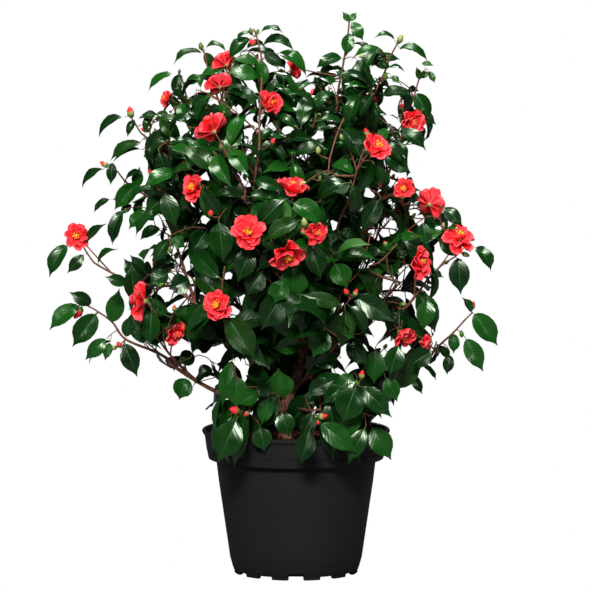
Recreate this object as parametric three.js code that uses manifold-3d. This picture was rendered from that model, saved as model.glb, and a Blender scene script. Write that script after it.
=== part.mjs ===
// A camellia shrub in flower, growing in a round black nursery pot of about 15 litres.
//
// Millimetres, +Z up, the front of the plant towards -Y. The origin is on the pot's axis, on the
// surface that the pot stands on: the middle of the flat centre foot under the pot's floor.
//
// The pot, the compost, the trunk, each bough and each mass of foliage is a solid of its own.
// A mass is one stem with side twigs, leaves and blossom, all fused together.

import * as THREE from 'three';
import { mergeVertices } from 'three/addons/utils/BufferGeometryUtils.js';
import Module from 'manifold-3d';

const wasm = await Module();
wasm.setup();

// ---------------------------------------------------------------- driving dimensions

const GAP = 0.3;                      // left between pieces that touch

const POT = {
  rimRadius: 165,                     // outside of the rolled lip
  height: 254,
  shelf: 202,                         // underside of the collar
  baseRadius: 110.3,                  // outside of the wall at the floor
  shoulderRadius: 140.5,              // outside of the wall just under the collar
  wall: 2.6,
  sides: 36,
};
const FOOT = { count: 12, height: 5.6, halfAngle: 8, inner: 100, outer: 109.4 };
const NOTCH = { count: 4, width: 27, top: 13 };
const CENTRE_FOOT = 21;               // radius of the flat foot under the middle of the floor
const FLOOR = { underside: 5.4, topside: 9.4 };

const SOIL = { height: 236, flatRadius: 62, edgeHeight: 228.5 };

const TRUNK = {
  radius: 10.5,
  tipRadius: 5.6,
  flare: 0.85,                        // how much wider the root flare is at the cut
  flareHeight: 13,
  sides: 10,
};
const TRUNK_COURSE = [[-20, 0, 0], [-23, 0, 48], [-14, 0, 70], [4, -5, 117], [14, -8, 149], [8, 2, 252]];

const BOUGH = { sides: 5, steps: 4, tipRadius: 2.9 };
const STEM = { radius: 3, tipRadius: 1.3, steps: 4 };
const TWIG = { radius: 2.2, tipRadius: 1.1, steps: 1 };
const LEAF = {
  length: 115,
  width: 58,
  thickness: 2.8,
  middle: 0.42,                       // where it is widest, as a share of its length
  arch: 0.16,
  keel: 0.3,
  sunk: 0.4,                          // how far the root passes the twig's middle line
  stemSpacing: 20,
  twigSpacing: 14,
};
const GOLDEN_ANGLE = 137.5;
const SIDE_TWIGS = 3;                     // on a stem, those that carry a blossom among them
const TWIG_SHARES = [0.42, 0.3, 0.2];     // of the stem's length, the longest that fits
const CROWN_MIDDLE = new THREE.Vector3(0, 40, 560);

// Boughs. Each leaves the trunk's middle line at a height and ends at its tip; `lift` raises
// the middle of its course above the straight line.
const BOUGHS = [
  { name: 'bough_left_low', from: 285, radius: 5.0, tip: [-222, -20, 372], lift: -34 },
  { name: 'bough_front_left', from: 303, radius: 4.6, tip: [-92, -112, 402], lift: -8 },
  { name: 'bough_left', from: 326, radius: 5.4, tip: [-214, -18, 506], lift: 6 },
  { name: 'bough_front_right', from: 316, radius: 4.4, tip: [52, -112, 392], lift: -4 },
  { name: 'bough_right_low', from: 338, radius: 4.6, tip: [150, -40, 366], lift: -12 },
  { name: 'bough_back', from: 348, radius: 4.8, tip: [-5, 150, 452], lift: 6 },
  { name: 'bough_front', from: 366, radius: 4.6, tip: [-14, -126, 492], lift: 2 },
  { name: 'bough_back_left', from: 374, radius: 4.8, tip: [-132, 116, 476], lift: 8 },
  { name: 'bough_right', from: 392, radius: 5.0, tip: [158, -62, 482], lift: 2 },
  { name: 'bough_back_right', from: 404, radius: 4.8, tip: [112, 116, 470], lift: 10 },
  { name: 'bough_left_high', from: 424, radius: 5.0, tip: [-152, 12, 646], lift: 0 },
  { name: 'bough_right_high', from: 436, radius: 5.0, tip: [136, 2, 628], lift: 0 },
  { name: 'bough_top_left', from: 460, radius: 5.2, tip: [-78, -50, 690], lift: 12 },
  { name: 'bough_top', from: 485, radius: 5.6, tip: [62, -4, 700], lift: 0 },
];

// Masses. `on` is the bough that carries the mass and `at` how far along it the stem leaves;
// `reach` is the furthest tip of the mass.
const MASSES = [
  { name: 'left_low', on: 'bough_left_low', at: 1.0, reach: [-430, -10, 462] },
  { name: 'left_front', on: 'bough_left_low', at: 0.72, reach: [-284, -150, 486] },
  { name: 'front_left', on: 'bough_front_left', at: 1.0, reach: [-140, -262, 470] },
  { name: 'low_front_left', on: 'bough_front_left', at: 0.55, reach: [-112, -206, 262] },
  { name: 'left_mid', on: 'bough_left', at: 1.0, reach: [-430, -72, 580] },
  { name: 'left_mid_high', on: 'bough_left', at: 0.82, reach: [-346, 34, 716] },
  { name: 'front_right', on: 'bough_front_right', at: 1.0, reach: [112, -262, 490] },
  { name: 'low_front_right', on: 'bough_front_right', at: 0.6, reach: [52, -212, 262] },
  { name: 'right_low', on: 'bough_right_low', at: 1.0, reach: [342, -30, 432] },
  { name: 'low_right', on: 'bough_right_low', at: 0.55, reach: [172, -150, 290] },
  { name: 'back_centre', on: 'bough_back', at: 1.0, reach: [-11, 350, 580] },
  { name: 'back_low', on: 'bough_back', at: 0.6, reach: [-11, 280, 330] },
  { name: 'front_centre', on: 'bough_front', at: 1.0, reach: [-80, -290, 600] },
  { name: 'front_middle', on: 'bough_front', at: 0.8, reach: [40, -285, 600] },
  { name: 'back_left', on: 'bough_back_left', at: 1.0, reach: [-322, 240, 480] },
  { name: 'back_left_high', on: 'bough_back_left', at: 0.75, reach: [-214, 246, 724] },
  { name: 'right_mid', on: 'bough_right', at: 1.0, reach: [344, -70, 560] },
  { name: 'right_front', on: 'bough_right', at: 0.7, reach: [210, -210, 560] },
  { name: 'back_right', on: 'bough_back_right', at: 1.0, reach: [290, 240, 476] },
  { name: 'back_right_high', on: 'bough_back_right', at: 0.75, reach: [190, 246, 724] },
  { name: 'left_high', on: 'bough_left_high', at: 1.0, reach: [-306, -30, 810] },
  { name: 'left_shoulder', on: 'bough_left_high', at: 0.82, reach: [-216, 80, 872] },
  { name: 'right_high', on: 'bough_right_high', at: 0.8, reach: [272, -40, 700] },
  { name: 'right_shoulder', on: 'bough_right_high', at: 1.0, reach: [244, 30, 886] },
  { name: 'upper_front_right', on: 'bough_right_high', at: 0.62, reach: [150, -190, 740] },
  { name: 'top_left', on: 'bough_top_left', at: 1.0, reach: [-170, 14, 932] },
  { name: 'top_front', on: 'bough_top_left', at: 0.86, reach: [-70, -96, 956] },
  { name: 'upper_front_left', on: 'bough_top_left', at: 0.66, reach: [-150, -196, 760] },
  { name: 'top_leader', on: 'bough_top', at: 1.0, reach: [90, 0, 1012] },
  { name: 'top_right', on: 'bough_top', at: 0.74, reach: [170, -46, 938] },
  { name: 'upper_front', on: 'bough_top', at: 0.45, reach: [6, -196, 800] },
  { name: 'top_back', on: 'bough_top', at: 0.6, reach: [-20, 130, 880] },
];

// Open blossoms: the middle of each and its width. They face away from the crown's middle.
const BLOSSOMS = [
  [-81, -290, 623, 64], [34, -288, 622, 44], [-14, -282, 584, 54], [-134, -268, 497, 58],
  [-379, -84, 599, 50], [-273, -165, 494, 50], [-209, -150, 437, 34], [-144, -190, 792, 54],
  [-174, -186, 691, 48], [-128, -50, 872, 48], [-226, 20, 832, 30], [-43, -150, 834, 34],
  [-5, -190, 692, 50], [200, -60, 798, 48], [136, -206, 762, 58], [186, -140, 685, 42],
  [235, -70, 655, 50], [282, -100, 600, 56], [212, -140, 559, 50], [183, -140, 433, 44],
  [-60, 300, 640, 56], [120, 262, 560, 52], [-244, 222, 520, 52], [40, 180, 820, 50],
];

const COLOUR = {
  pot: 0x1d1e20,
  soil: 0x5a2d20,
  bark: 0x7a4a35,
  foliage: 0x1d4a2a,
};

// ---------------------------------------------------------------- small tools

const UP = new THREE.Vector3(0, 0, 1);
const radians = THREE.MathUtils.degToRad;
const mix = THREE.MathUtils.lerp;
const vector = (list) => new THREE.Vector3(...list);

// A seeded stream of numbers from 0 to 1.
function stream(seed) {
  let state = seed >>> 0;
  return () => {
    state = (state + 0x6d2b79f5) >>> 0;
    let t = state;
    t = Math.imul(t ^ (t >>> 15), t | 1);
    t ^= t + Math.imul(t ^ (t >>> 7), t | 61);
    return ((t ^ (t >>> 14)) >>> 0) / 4294967296;
  };
}

// A closed mesh as a solid that can be joined and cut.
function solid(geometry) {
  const bare = new THREE.BufferGeometry();
  bare.setAttribute('position', geometry.getAttribute('position').clone());
  bare.setIndex(geometry.getIndex() ? geometry.getIndex().clone() : null);
  const merged = mergeVertices(bare, 1e-4);
  const vertProperties = new Float32Array(merged.getAttribute('position').array);
  const kept = [];
  const index = merged.getIndex().array;
  for (let i = 0; i < index.length; i += 3) {
    const [a, b, c] = [index[i], index[i + 1], index[i + 2]];
    if (a !== b && b !== c && c !== a) kept.push(a, b, c);
  }
  const triVerts = new Uint32Array(kept);
  return new wasm.Manifold(new wasm.Mesh({ numProp: 3, vertProperties, triVerts }));
}

// The solids joined as one body: what is not joined to it is dropped, and sealed hollows fill.
function fused(solids) {
  const bodies = wasm.Manifold.union(solids).decompose();
  return bodies.reduce((best, body) => (body.volume() > best.volume() ? body : best));
}

function geometryOf(body) {
  const mesh = body.getMesh();
  const geometry = new THREE.BufferGeometry();
  geometry.setAttribute('position', new THREE.BufferAttribute(mesh.vertProperties, 3));
  geometry.setIndex(new THREE.BufferAttribute(mesh.triVerts, 1));
  geometry.computeVertexNormals();
  return geometry;
}

const group = new THREE.Group();

function addPart(name, body, color, roughness) {
  const material = new THREE.MeshStandardMaterial({ color, roughness, metalness: 0 });
  const mesh = new THREE.Mesh(geometryOf(body), material);
  mesh.name = name;
  group.add(mesh);
}

// ---------------------------------------------------------------- pot and compost

const INNER = {
  floor: POT.baseRadius - POT.wall,
  shoulder: POT.shoulderRadius - POT.wall,
  collar: 151.2,
  lip: 157.6,
};

function turned(profile, sides) {
  const points = profile.map(([radius, height]) => new THREE.Vector2(radius, height));
  const lathe = new THREE.LatheGeometry(points, sides);
  lathe.rotateX(Math.PI / 2);
  return solid(lathe);
}

function pot() {
  const top = POT.height;
  const outside = [
    [0, FLOOR.underside], [POT.baseRadius - 1, FLOOR.underside], [115.5, 26],
    [POT.shoulderRadius, POT.shelf], [153.8, POT.shelf], [156.2, 214.5], [160.5, top - 11],
    [POT.rimRadius, top - 6], [POT.rimRadius - 0.6, top - 1.6], [POT.rimRadius - 3, top],
  ];
  const inside = [
    [INNER.lip + 1.6, top - 1], [INNER.lip, top - 10], [INNER.collar, POT.shelf + POT.wall],
    [INNER.shoulder, POT.shelf + POT.wall], [113, 26], [INNER.floor, FLOOR.topside],
    [0, FLOOR.topside],
  ];
  const feet = [];
  for (let i = 0; i < FOOT.count; i += 1) {
    const middle = ((i + 0.5) * 360) / FOOT.count;
    const [first, last] = [radians(middle - FOOT.halfAngle), radians(middle + FOOT.halfAngle)];
    const sector = new THREE.Shape();
    sector.absarc(0, 0, FOOT.outer, first, last, false);
    sector.absarc(0, 0, FOOT.inner, last, first, true);
    const foot = new THREE.ExtrudeGeometry(sector, {
      depth: FOOT.height + 0.4, bevelEnabled: false, curveSegments: 2,
    });
    feet.push(solid(foot));
  }
  const centre = new THREE.CylinderGeometry(CENTRE_FOOT, CENTRE_FOOT, FLOOR.underside + 1, 24);
  centre.rotateX(Math.PI / 2).translate(0, 0, (FLOOR.underside + 1) / 2);
  let body = wasm.Manifold.union([turned([...outside, ...inside], POT.sides), ...feet, solid(centre)]);
  for (let i = 0; i < NOTCH.count; i += 1) {
    const cutter = new THREE.BoxGeometry(NOTCH.width, 30, NOTCH.top);
    cutter.translate(0, -(FOOT.outer + 1), NOTCH.top / 2 + 0.01).rotateZ((i * Math.PI * 2) / NOTCH.count);
    body = body.subtract(solid(cutter));
  }
  return body;
}

function soil() {
  const bed = FLOOR.topside + GAP;
  const shelf = POT.shelf + POT.wall + GAP;
  const sides = 24;
  const inset = 0.9;                  // the flats of a coarser ring stay clear of the pot's wall
  return turned([
    [0, bed], [INNER.floor - inset, bed], [113 - inset, 26],
    [INNER.shoulder - inset, shelf], [INNER.collar - inset, shelf], [153.4, SOIL.edgeHeight],
    [(154 + SOIL.flatRadius) / 2, (SOIL.edgeHeight + SOIL.height) / 2 + 1.5],
    [SOIL.flatRadius, SOIL.height], [0, SOIL.height],
  ], sides);
}

// ---------------------------------------------------------------- trunk and boughs

// A tapering limb along a curve: a cylinder whose rings are carried to places on the curve.
// `radiusAt(along, turn)` gives the radius from how far along (0 to 1) and the angle round.
function limb(curve, radiusAt, sides, steps) {
  const blank = new THREE.CylinderGeometry(1, 1, 1, sides, steps);
  const frames = curve.computeFrenetFrames(steps, false);
  const centres = curve.getSpacedPoints(steps);
  const places = blank.getAttribute('position');
  for (let i = 0; i < places.count; i += 1) {
    const ring = Math.round((places.getY(i) + 0.5) * steps);
    const [across, over] = [places.getX(i), places.getZ(i)];
    const radius = radiusAt(ring / steps, Math.atan2(over, across));
    const spot = centres[ring].clone();
    spot.addScaledVector(frames.normals[ring], across * radius);
    spot.addScaledVector(frames.binormals[ring], -over * radius);
    places.setXYZ(i, spot.x, spot.y, spot.z);
  }
  return solid(blank);
}

const soilTop = SOIL.height + GAP;
const trunkCurve = new THREE.CatmullRomCurve3(
  TRUNK_COURSE.map(([x, y, above]) => new THREE.Vector3(x, y, soilTop + above)),
);
const trunkLength = trunkCurve.getLength();

function trunkRadius(along, turn = 0) {
  const above = along * trunkLength;
  const swell = Math.exp(-above / TRUNK.flareHeight);
  const roots = 1 + 0.16 * Math.cos(5 * turn) * swell;
  return mix(TRUNK.radius, TRUNK.tipRadius, along) * (1 + TRUNK.flare * swell) * roots;
}

// The trunk, with its foot cut flat at the compost and its tip cut flat where the top bough starts.
function trunk(extra) {
  const body = limb(trunkCurve, (along, turn) => trunkRadius(along, turn) + extra, TRUNK.sides, 14);
  const below = new THREE.BoxGeometry(200, 200, 40);
  below.translate(0, 0, soilTop - 20 - extra);
  return body.subtract(solid(below));
}

// The point of the trunk's middle line at a height, as a share of its length.
function trunkShareAt(height) {
  let share = 0;
  while (share < 1 && trunkCurve.getPointAt(share).z < height) share += 0.002;
  return Math.min(share, 1);
}

function boughCourse(bough) {
  const share = trunkShareAt(bough.from);
  const start = trunkCurve.getPointAt(share);
  const leavesTip = share === 1;
  if (leavesTip) start.addScaledVector(trunkCurve.getTangentAt(1), GAP);
  const tip = vector(bough.tip);
  const control = start.clone().lerp(tip, 0.5);
  if (leavesTip) {
    control.copy(start).addScaledVector(trunkCurve.getTangentAt(1), 0.4 * start.distanceTo(tip));
  }
  control.z += bough.lift;
  return new THREE.QuadraticBezierCurve3(start, control, tip);
}

const boughs = new Map();
for (const bough of BOUGHS) {
  const curve = boughCourse(bough);
  const radiusAt = (along) => mix(bough.radius, BOUGH.tipRadius, along);
  boughs.set(bough.name, { ...bough, curve, radiusAt });
}

function boughSolid(bough, extra) {
  return limb(bough.curve, (along) => bough.radiusAt(along) + extra, BOUGH.sides, BOUGH.steps);
}

// ---------------------------------------------------------------- stems and twigs

// The course of a stem or a twig: straight runs between evenly spaced points of a curve.
function courseOf(curve, steps) {
  const points = curve.getSpacedPoints(steps);
  const runAt = (along) => Math.min(Math.floor(along * steps), steps - 1);
  return {
    points,
    length: curve.getLength(),
    pointAt: (along) => {
      const run = runAt(along);
      return points[run].clone().lerp(points[run + 1], along * steps - run);
    },
    headingAt: (along) => points[runAt(along) + 1].clone().sub(points[runAt(along)]).normalize(),
  };
}

// A three-sided twig: a triangle at each point of its course, closed at both ends.
function twigSolid(course, size) {
  const last = course.points.length - 1;
  const places = [];
  const faces = [];
  for (let ring = 0; ring <= last; ring += 1) {
    const heading = course.headingAt(Math.min((ring + 0.5) / last, 1));
    const level = new THREE.Vector3().crossVectors(heading, UP).normalize();
    const upward = new THREE.Vector3().crossVectors(level, heading);
    for (let side = 0; side < 3; side += 1) {
      const turn = radians(90 + 120 * side);
      const radius = mix(size.radius, size.tipRadius, ring / last);
      places.push(...course.points[ring].clone().addScaledVector(level, radius * Math.cos(turn))
        .addScaledVector(upward, radius * Math.sin(turn)).toArray());
    }
  }
  for (let ring = 0; ring < last; ring += 1) {
    for (let side = 0; side < 3; side += 1) {
      const [a, b] = [ring * 3 + side, ring * 3 + ((side + 1) % 3)];
      faces.push(b, a, a + 3, b, a + 3, b + 3);
    }
  }
  faces.push(0, 1, 2, last * 3 + 2, last * 3 + 1, last * 3);
  return meshSolid(places, faces);
}

function meshSolid(places, faces) {
  const geometry = new THREE.BufferGeometry();
  geometry.setAttribute('position', new THREE.BufferAttribute(new Float32Array(places), 3));
  geometry.setIndex(faces);
  return solid(geometry);
}

// ---------------------------------------------------------------- the rule for a mass

// The stem's course: it leaves its bough along the bough's own line and bends to its reach,
// and stops short of it by most of a leaf.
function stemCourse(mass) {
  const bough = boughs.get(mass.on);
  const start = bough.curve.getPointAt(mass.at);
  const reach = vector(mass.reach);
  const heading = bough.curve.getTangentAt(mass.at);
  if (mass.at === 1) start.addScaledVector(heading, GAP);
  const span = reach.clone().sub(start);
  const end = start.clone().addScaledVector(span, 1 - (0.72 * LEAF.length) / span.length());
  const control = start.clone().addScaledVector(heading, 0.32 * span.length());
  control.lerp(start.clone().lerp(end, 0.5), mass.at === 1 ? 0 : 0.5);
  return courseOf(new THREE.QuadraticBezierCurve3(start, control, end), STEM.steps);
}

const masses = MASSES.map((mass, number) => {
  const stem = stemCourse(mass);
  const spine = new THREE.Line3(stem.points[0], vector(mass.reach));
  const outward = spine.delta(new THREE.Vector3()).normalize();
  const random = stream(1000 + 77 * number);
  return { ...mass, number, stem, spine, outward, random, blossoms: [], leaves: 0 };
});

const scratch = new THREE.Vector3();
function distanceTo(line, point) {
  return line.closestPointToPoint(point, true, scratch).distanceTo(point);
}

for (const [x, y, z, width] of BLOSSOMS) {
  const middle = new THREE.Vector3(x, y, z);
  const distances = masses.map((mass) => distanceTo(mass.spine, middle));
  masses[distances.indexOf(Math.min(...distances))].blossoms.push({ middle, width });
}

// Everything hard that foliage has to miss: points along each limb and stem, with their radii.
const limbSpots = [];
function noteLimb(owner, length, pointAt, radiusAt) {
  const steps = Math.ceil(length / 8);
  for (let i = 0; i <= steps; i += 1) {
    limbSpots.push({ owner, spot: pointAt(i / steps), radius: radiusAt(i / steps) });
  }
}
noteLimb('trunk', trunkLength, (along) => trunkCurve.getPointAt(along), trunkRadius);
for (const bough of boughs.values()) {
  noteLimb(bough.name, bough.curve.getLength(), (along) => bough.curve.getPointAt(along), bough.radiusAt);
}
masses.forEach((mass) => noteLimb(mass.name, mass.stem.length, mass.stem.pointAt, () => STEM.radius));

const CELL_MARGIN = 1.3;
const LIMB_MARGIN = 4;
const OWN_LIMB_MARGIN = 1.5;
const POT_MARGIN = 5;
const PAST_REACH = 4;

// A spot is free for a mass when it is nearer to this mass's spine than to any other, clear of
// every limb, stem and twig, not past the mass's reach, and outside the pot.
function isFree(mass, point) {
  const across = Math.hypot(point.x, point.y);
  if (point.z < POT.height + POT_MARGIN && across < POT.rimRadius + POT_MARGIN) return false;
  if (point.z < POT.shelf - 12) return false;
  if (scratch.copy(point).sub(mass.spine.end).dot(mass.outward) > PAST_REACH) return false;
  const own = distanceTo(mass.spine, point);
  for (const other of masses) {
    if (other !== mass && distanceTo(other.spine, point) < own + CELL_MARGIN) return false;
  }
  for (const { owner, spot, radius } of limbSpots) {
    const margin = owner === mass.name ? OWN_LIMB_MARGIN : LIMB_MARGIN;
    if (spot.distanceTo(point) < radius + margin) return false;
  }
  return true;
}

// A leaf is a thin keeled lens of eight faces: its root, its tip, its two edges and a middle
// on each side.

function leafPoint(leaf, along, side, over) {
  const half = side * leaf.width * 0.5;
  return leaf.root.clone()
    .addScaledVector(leaf.ahead, leaf.length * along)
    .addScaledVector(leaf.across, half * Math.cos(LEAF.keel))
    .addScaledVector(leaf.face, Math.abs(half) * Math.sin(LEAF.keel) + over
      - LEAF.arch * leaf.length * along * along);
}

function leafSolid(leaf) {
  const { middle, thickness } = LEAF;
  const outline = [
    leafPoint(leaf, 0, 0, 0), leafPoint(leaf, middle, -1, 0),
    leafPoint(leaf, 1, 0, 0), leafPoint(leaf, middle, 1, 0),
  ];
  return lens(outline, leafPoint(leaf, middle, 0, thickness / 2), leafPoint(leaf, middle, 0, -thickness / 2));
}

// A closed lens: an outline, anticlockwise seen from the top point, with a point on each side.
function lens(outline, top, bottom) {
  const count = outline.length;
  const places = [...outline, top, bottom].flatMap((point) => point.toArray());
  const faces = [];
  for (let i = 0; i < count; i += 1) {
    const next = (i + 1) % count;
    faces.push(i, next, count, next, i, count + 1);
  }
  return meshSolid(places, faces);
}

// Leaves and blossoms already placed, each with the spots that the next ones keep off.
const placed = [];
const LEAF_MARGIN = 5.5;

function isCrowded(centre, span, spots) {
  for (const other of placed) {
    if (other.centre.distanceTo(centre) > other.span + span + LEAF_MARGIN) continue;
    for (const spot of spots) {
      if (other.spots.some((taken) => taken.distanceTo(spot) < LEAF_MARGIN)) return true;
    }
  }
  return false;
}

// Spots spread over a leaf, as shares of its length and of its half width.
const LEAF_SPOTS = [];
for (const along of [0.2, 0.33, 0.47, 0.6, 0.73, 0.86, 1]) {
  const half = along < LEAF.middle ? along / LEAF.middle : (1 - along) / (1 - LEAF.middle);
  for (const side of along < 1 ? [-1, -0.5, 0, 0.5, 1] : [0]) LEAF_SPOTS.push([along, side * half]);
}

// How far a leaf's face turns from the sky to the side, and how much it may hang.
const OUTWARD_TURN = 1.3;
const WANDER = radians(75);
const DROOPS = [0.5, 0.8, 0.25];

// A leaf stands off its twig at an angle, hangs by its own weight and turns its face to the light.
function tryLeaf(mass, root, twigHeading, sideways, size, droop) {
  const ahead = twigHeading.clone().multiplyScalar(0.55).addScaledVector(sideways, 0.85);
  ahead.z -= droop;
  ahead.normalize();
  const light = new THREE.Vector3(root.x, root.y, 0).normalize().multiplyScalar(OUTWARD_TURN);
  light.applyAxisAngle(UP, WANDER * (2 * mass.random() - 1)).add(UP);
  const face = light.addScaledVector(ahead, -light.dot(ahead)).normalize();
  const across = new THREE.Vector3().crossVectors(face, ahead);
  const leaf = { root, ahead, face, across, length: LEAF.length * size, width: LEAF.width * size };
  leaf.root = root.clone().addScaledVector(ahead, -LEAF.sunk);
  const spots = LEAF_SPOTS.map(([along, side]) => leafPoint(leaf, along, side, 0));
  if (!spots.every((spot) => isFree(mass, spot))) return null;
  const centre = leafPoint(leaf, 0.6, 0, 0);
  const span = 0.45 * leaf.length;
  if (isCrowded(centre, span, spots)) return null;
  placed.push({ centre, span, spots });
  return leafSolid(leaf);
}

// Leaves stand round a twig by the golden angle, with one at its tip. Each tries its own side
// first and then the next ones round, and hangs more or less, until it finds free space.
const TRIES = 12;
const MOST_LEAVES = 13;               // on one mass
function leavesAlong(mass, course, first, spacing, pieces) {
  const count = Math.max(1, Math.round((course.length * (1 - first)) / spacing));
  for (let i = count; i >= 0 && mass.leaves < MOST_LEAVES; i -= 1) {
    const along = mix(first, 0.985, i / count);
    const heading = course.headingAt(along);
    const level = new THREE.Vector3().crossVectors(heading, UP).normalize();
    const upward = new THREE.Vector3().crossVectors(level, heading);
    const start = GOLDEN_ANGLE * i + 40 * mass.random();
    const size = mix(0.86, 1.06, mass.random());
    for (let attempt = 0; attempt < TRIES; attempt += 1) {
      const turn = radians(start + 55 * attempt);
      const sideways = level.clone().multiplyScalar(Math.cos(turn));
      sideways.addScaledVector(upward, Math.sin(turn)).multiplyScalar(i === count ? 0.2 + 0.1 * attempt : 1);
      const droop = DROOPS[attempt % DROOPS.length];
      const leaf = tryLeaf(mass, course.pointAt(along), heading, sideways, size, droop);
      if (leaf) {
        pieces.push(leaf);
        mass.leaves += 1;
        break;
      }
    }
  }
}

// A side twig runs straight from a point of the stem to its own tip.
function sideTwig(mass, along, tip) {
  return courseOf(new THREE.LineCurve3(mass.stem.pointAt(along), tip), TWIG.steps);
}

// An open blossom: a wavy shallow cup, closed behind by its short stalk.
const PETALS = 5;
function blossomOutline({ middle, width }, outward) {
  const level = new THREE.Vector3().crossVectors(UP, outward).normalize();
  const upward = new THREE.Vector3().crossVectors(outward, level);
  const outline = [];
  for (let i = 0; i < 2 * PETALS; i += 1) {
    const turn = (i / PETALS) * Math.PI;
    const radius = (width / 2) * (i % 2 === 0 ? 1 : 0.8);
    outline.push(middle.clone().addScaledVector(level, radius * Math.cos(turn))
      .addScaledVector(upward, radius * Math.sin(turn)).addScaledVector(outward, 0.12 * width));
  }
  return outline;
}

function blossomSolid(blossom, outward) {
  const { middle, width } = blossom;
  const face = middle.clone().addScaledVector(outward, 0.04 * width);
  const back = middle.clone().addScaledVector(outward, -0.24 * width);
  return lens(blossomOutline(blossom, outward), face, back);
}

// The twig that carries a blossom leaves the stem a little behind it.
function blossomTwig(mass, blossom, outward) {
  const tip = blossom.middle.clone().addScaledVector(outward, -0.12 * blossom.width);
  const beside = mass.spine.closestPointToPointParameter(blossom.middle, true);
  return sideTwig(mass, THREE.MathUtils.clamp(beside - 0.15, 0.3, 0.93), tip);
}

function growMass(mass) {
  const pieces = [twigSolid(mass.stem, STEM)];
  const twigs = [];
  for (const blossom of mass.blossoms) {
    const outward = blossom.middle.clone().sub(CROWN_MIDDLE).normalize();
    twigs.push(blossomTwig(mass, blossom, outward));
    pieces.push(blossomSolid(blossom, outward));
    const spots = blossomOutline(blossom, outward);
    placed.push({ centre: blossom.middle, span: blossom.width / 2, spots: [...spots, blossom.middle] });
  }
  const plain = Math.max(1, SIDE_TWIGS - twigs.length);
  for (let i = 0; i < plain; i += 1) {
    const along = mix(0.3, 0.86, (i + 0.3 * mass.random()) / plain);
    const heading = mass.stem.headingAt(along);
    const level = new THREE.Vector3().crossVectors(heading, UP).normalize();
    const upward = new THREE.Vector3().crossVectors(level, heading);
    const turn = radians(GOLDEN_ANGLE * i + 60 * mass.number);
    const outwards = level.multiplyScalar(Math.cos(turn)).addScaledVector(upward, Math.sin(turn));
    for (const part of TWIG_SHARES) {
      const reach = THREE.MathUtils.clamp(part * mass.stem.length, 34, 105) * (1.15 - 0.4 * along);
      const tip = mass.stem.pointAt(along).addScaledVector(heading, 0.62 * reach);
      tip.addScaledVector(outwards, 0.78 * reach);
      const course = sideTwig(mass, along, tip);
      if ([0.35, 0.6, 0.8, 1].every((share) => isFree(mass, course.pointAt(share)))) {
        twigs.push(course);
        break;
      }
    }
  }
  for (const course of twigs) noteLimb(mass.name, course.length, course.pointAt, () => TWIG.radius);
  for (const course of twigs) {
    pieces.push(twigSolid(course, TWIG));
    leavesAlong(mass, course, 0.35, LEAF.twigSpacing, pieces);
  }
  leavesAlong(mass, mass.stem, 0.3, LEAF.stemSpacing, pieces);
  const body = fused(pieces);
  return fused([body.subtract(boughSolid(boughs.get(mass.on), GAP))]);
}

// ---------------------------------------------------------------- the whole plant

addPart('pot', pot(), COLOUR.pot, 0.45);
addPart('soil', soil(), COLOUR.soil, 0.95);
addPart('trunk', trunk(0), COLOUR.bark, 0.85);

const hollow = trunk(GAP);
for (const bough of boughs.values()) {
  const whole = boughSolid(bough, 0);
  const body = bough.curve.getPointAt(0).z > trunkCurve.getPointAt(1).z ? whole : whole.subtract(hollow);
  addPart(bough.name, fused([body]), COLOUR.bark, 0.85);
}
for (const mass of masses) {
  addPart(`foliage_${mass.name}`, growMass(mass), COLOUR.foliage, 0.35);
}

export default group;
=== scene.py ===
"""A camellia shrub in flower, in a round black nursery pot: bark, twigs, leaves, blossom, buds,
compost and pot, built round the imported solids.

Sizes are in millimetres until a mesh is made, +Z up, the front of the plant towards -Y.
"""

import math

import bpy
import numpy as np
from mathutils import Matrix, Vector


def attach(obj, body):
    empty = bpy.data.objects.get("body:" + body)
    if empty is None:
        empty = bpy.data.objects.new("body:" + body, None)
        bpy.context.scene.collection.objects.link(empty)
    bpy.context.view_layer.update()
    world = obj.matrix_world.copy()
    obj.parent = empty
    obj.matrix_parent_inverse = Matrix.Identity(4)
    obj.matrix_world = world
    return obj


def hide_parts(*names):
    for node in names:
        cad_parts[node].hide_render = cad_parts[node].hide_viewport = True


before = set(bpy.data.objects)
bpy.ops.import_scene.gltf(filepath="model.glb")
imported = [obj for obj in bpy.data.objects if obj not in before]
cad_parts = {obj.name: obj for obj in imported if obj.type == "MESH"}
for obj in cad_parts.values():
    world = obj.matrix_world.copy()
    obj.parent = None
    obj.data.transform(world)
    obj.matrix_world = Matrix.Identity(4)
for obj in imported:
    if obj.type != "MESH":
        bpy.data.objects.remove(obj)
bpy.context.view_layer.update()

MM = 0.001
UP = np.array([0.0, 0.0, 1.0])

# ------------------------------------------------------------------ driving dimensions

POT = dict(rim=165.0, height=254.0, shelf=202.0, base=110.3, shoulder=140.5, wall=2.6)
FOOT = dict(count=12, height=5.4, half_angle=8.0, inner=101.0, outer=109.4)
NOTCH = dict(count=4, width=27.0, top=13.0)
SOIL = dict(height=236.0, flat=62.0, edge=228.5, radius=153.0)

TRUNK = dict(radius=10.5, tip=5.6, flare=0.85, flare_height=13.0)
TRUNK_COURSE = [(-20, 0, 0), (-23, 0, 48), (-14, 0, 70), (4, -5, 117), (14, -8, 149), (8, 2, 252)]
SOIL_TOP = SOIL["height"] + 0.3
BOUGH_TIP = 2.9
GOLDEN_ANGLE = math.radians(137.5)

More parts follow.
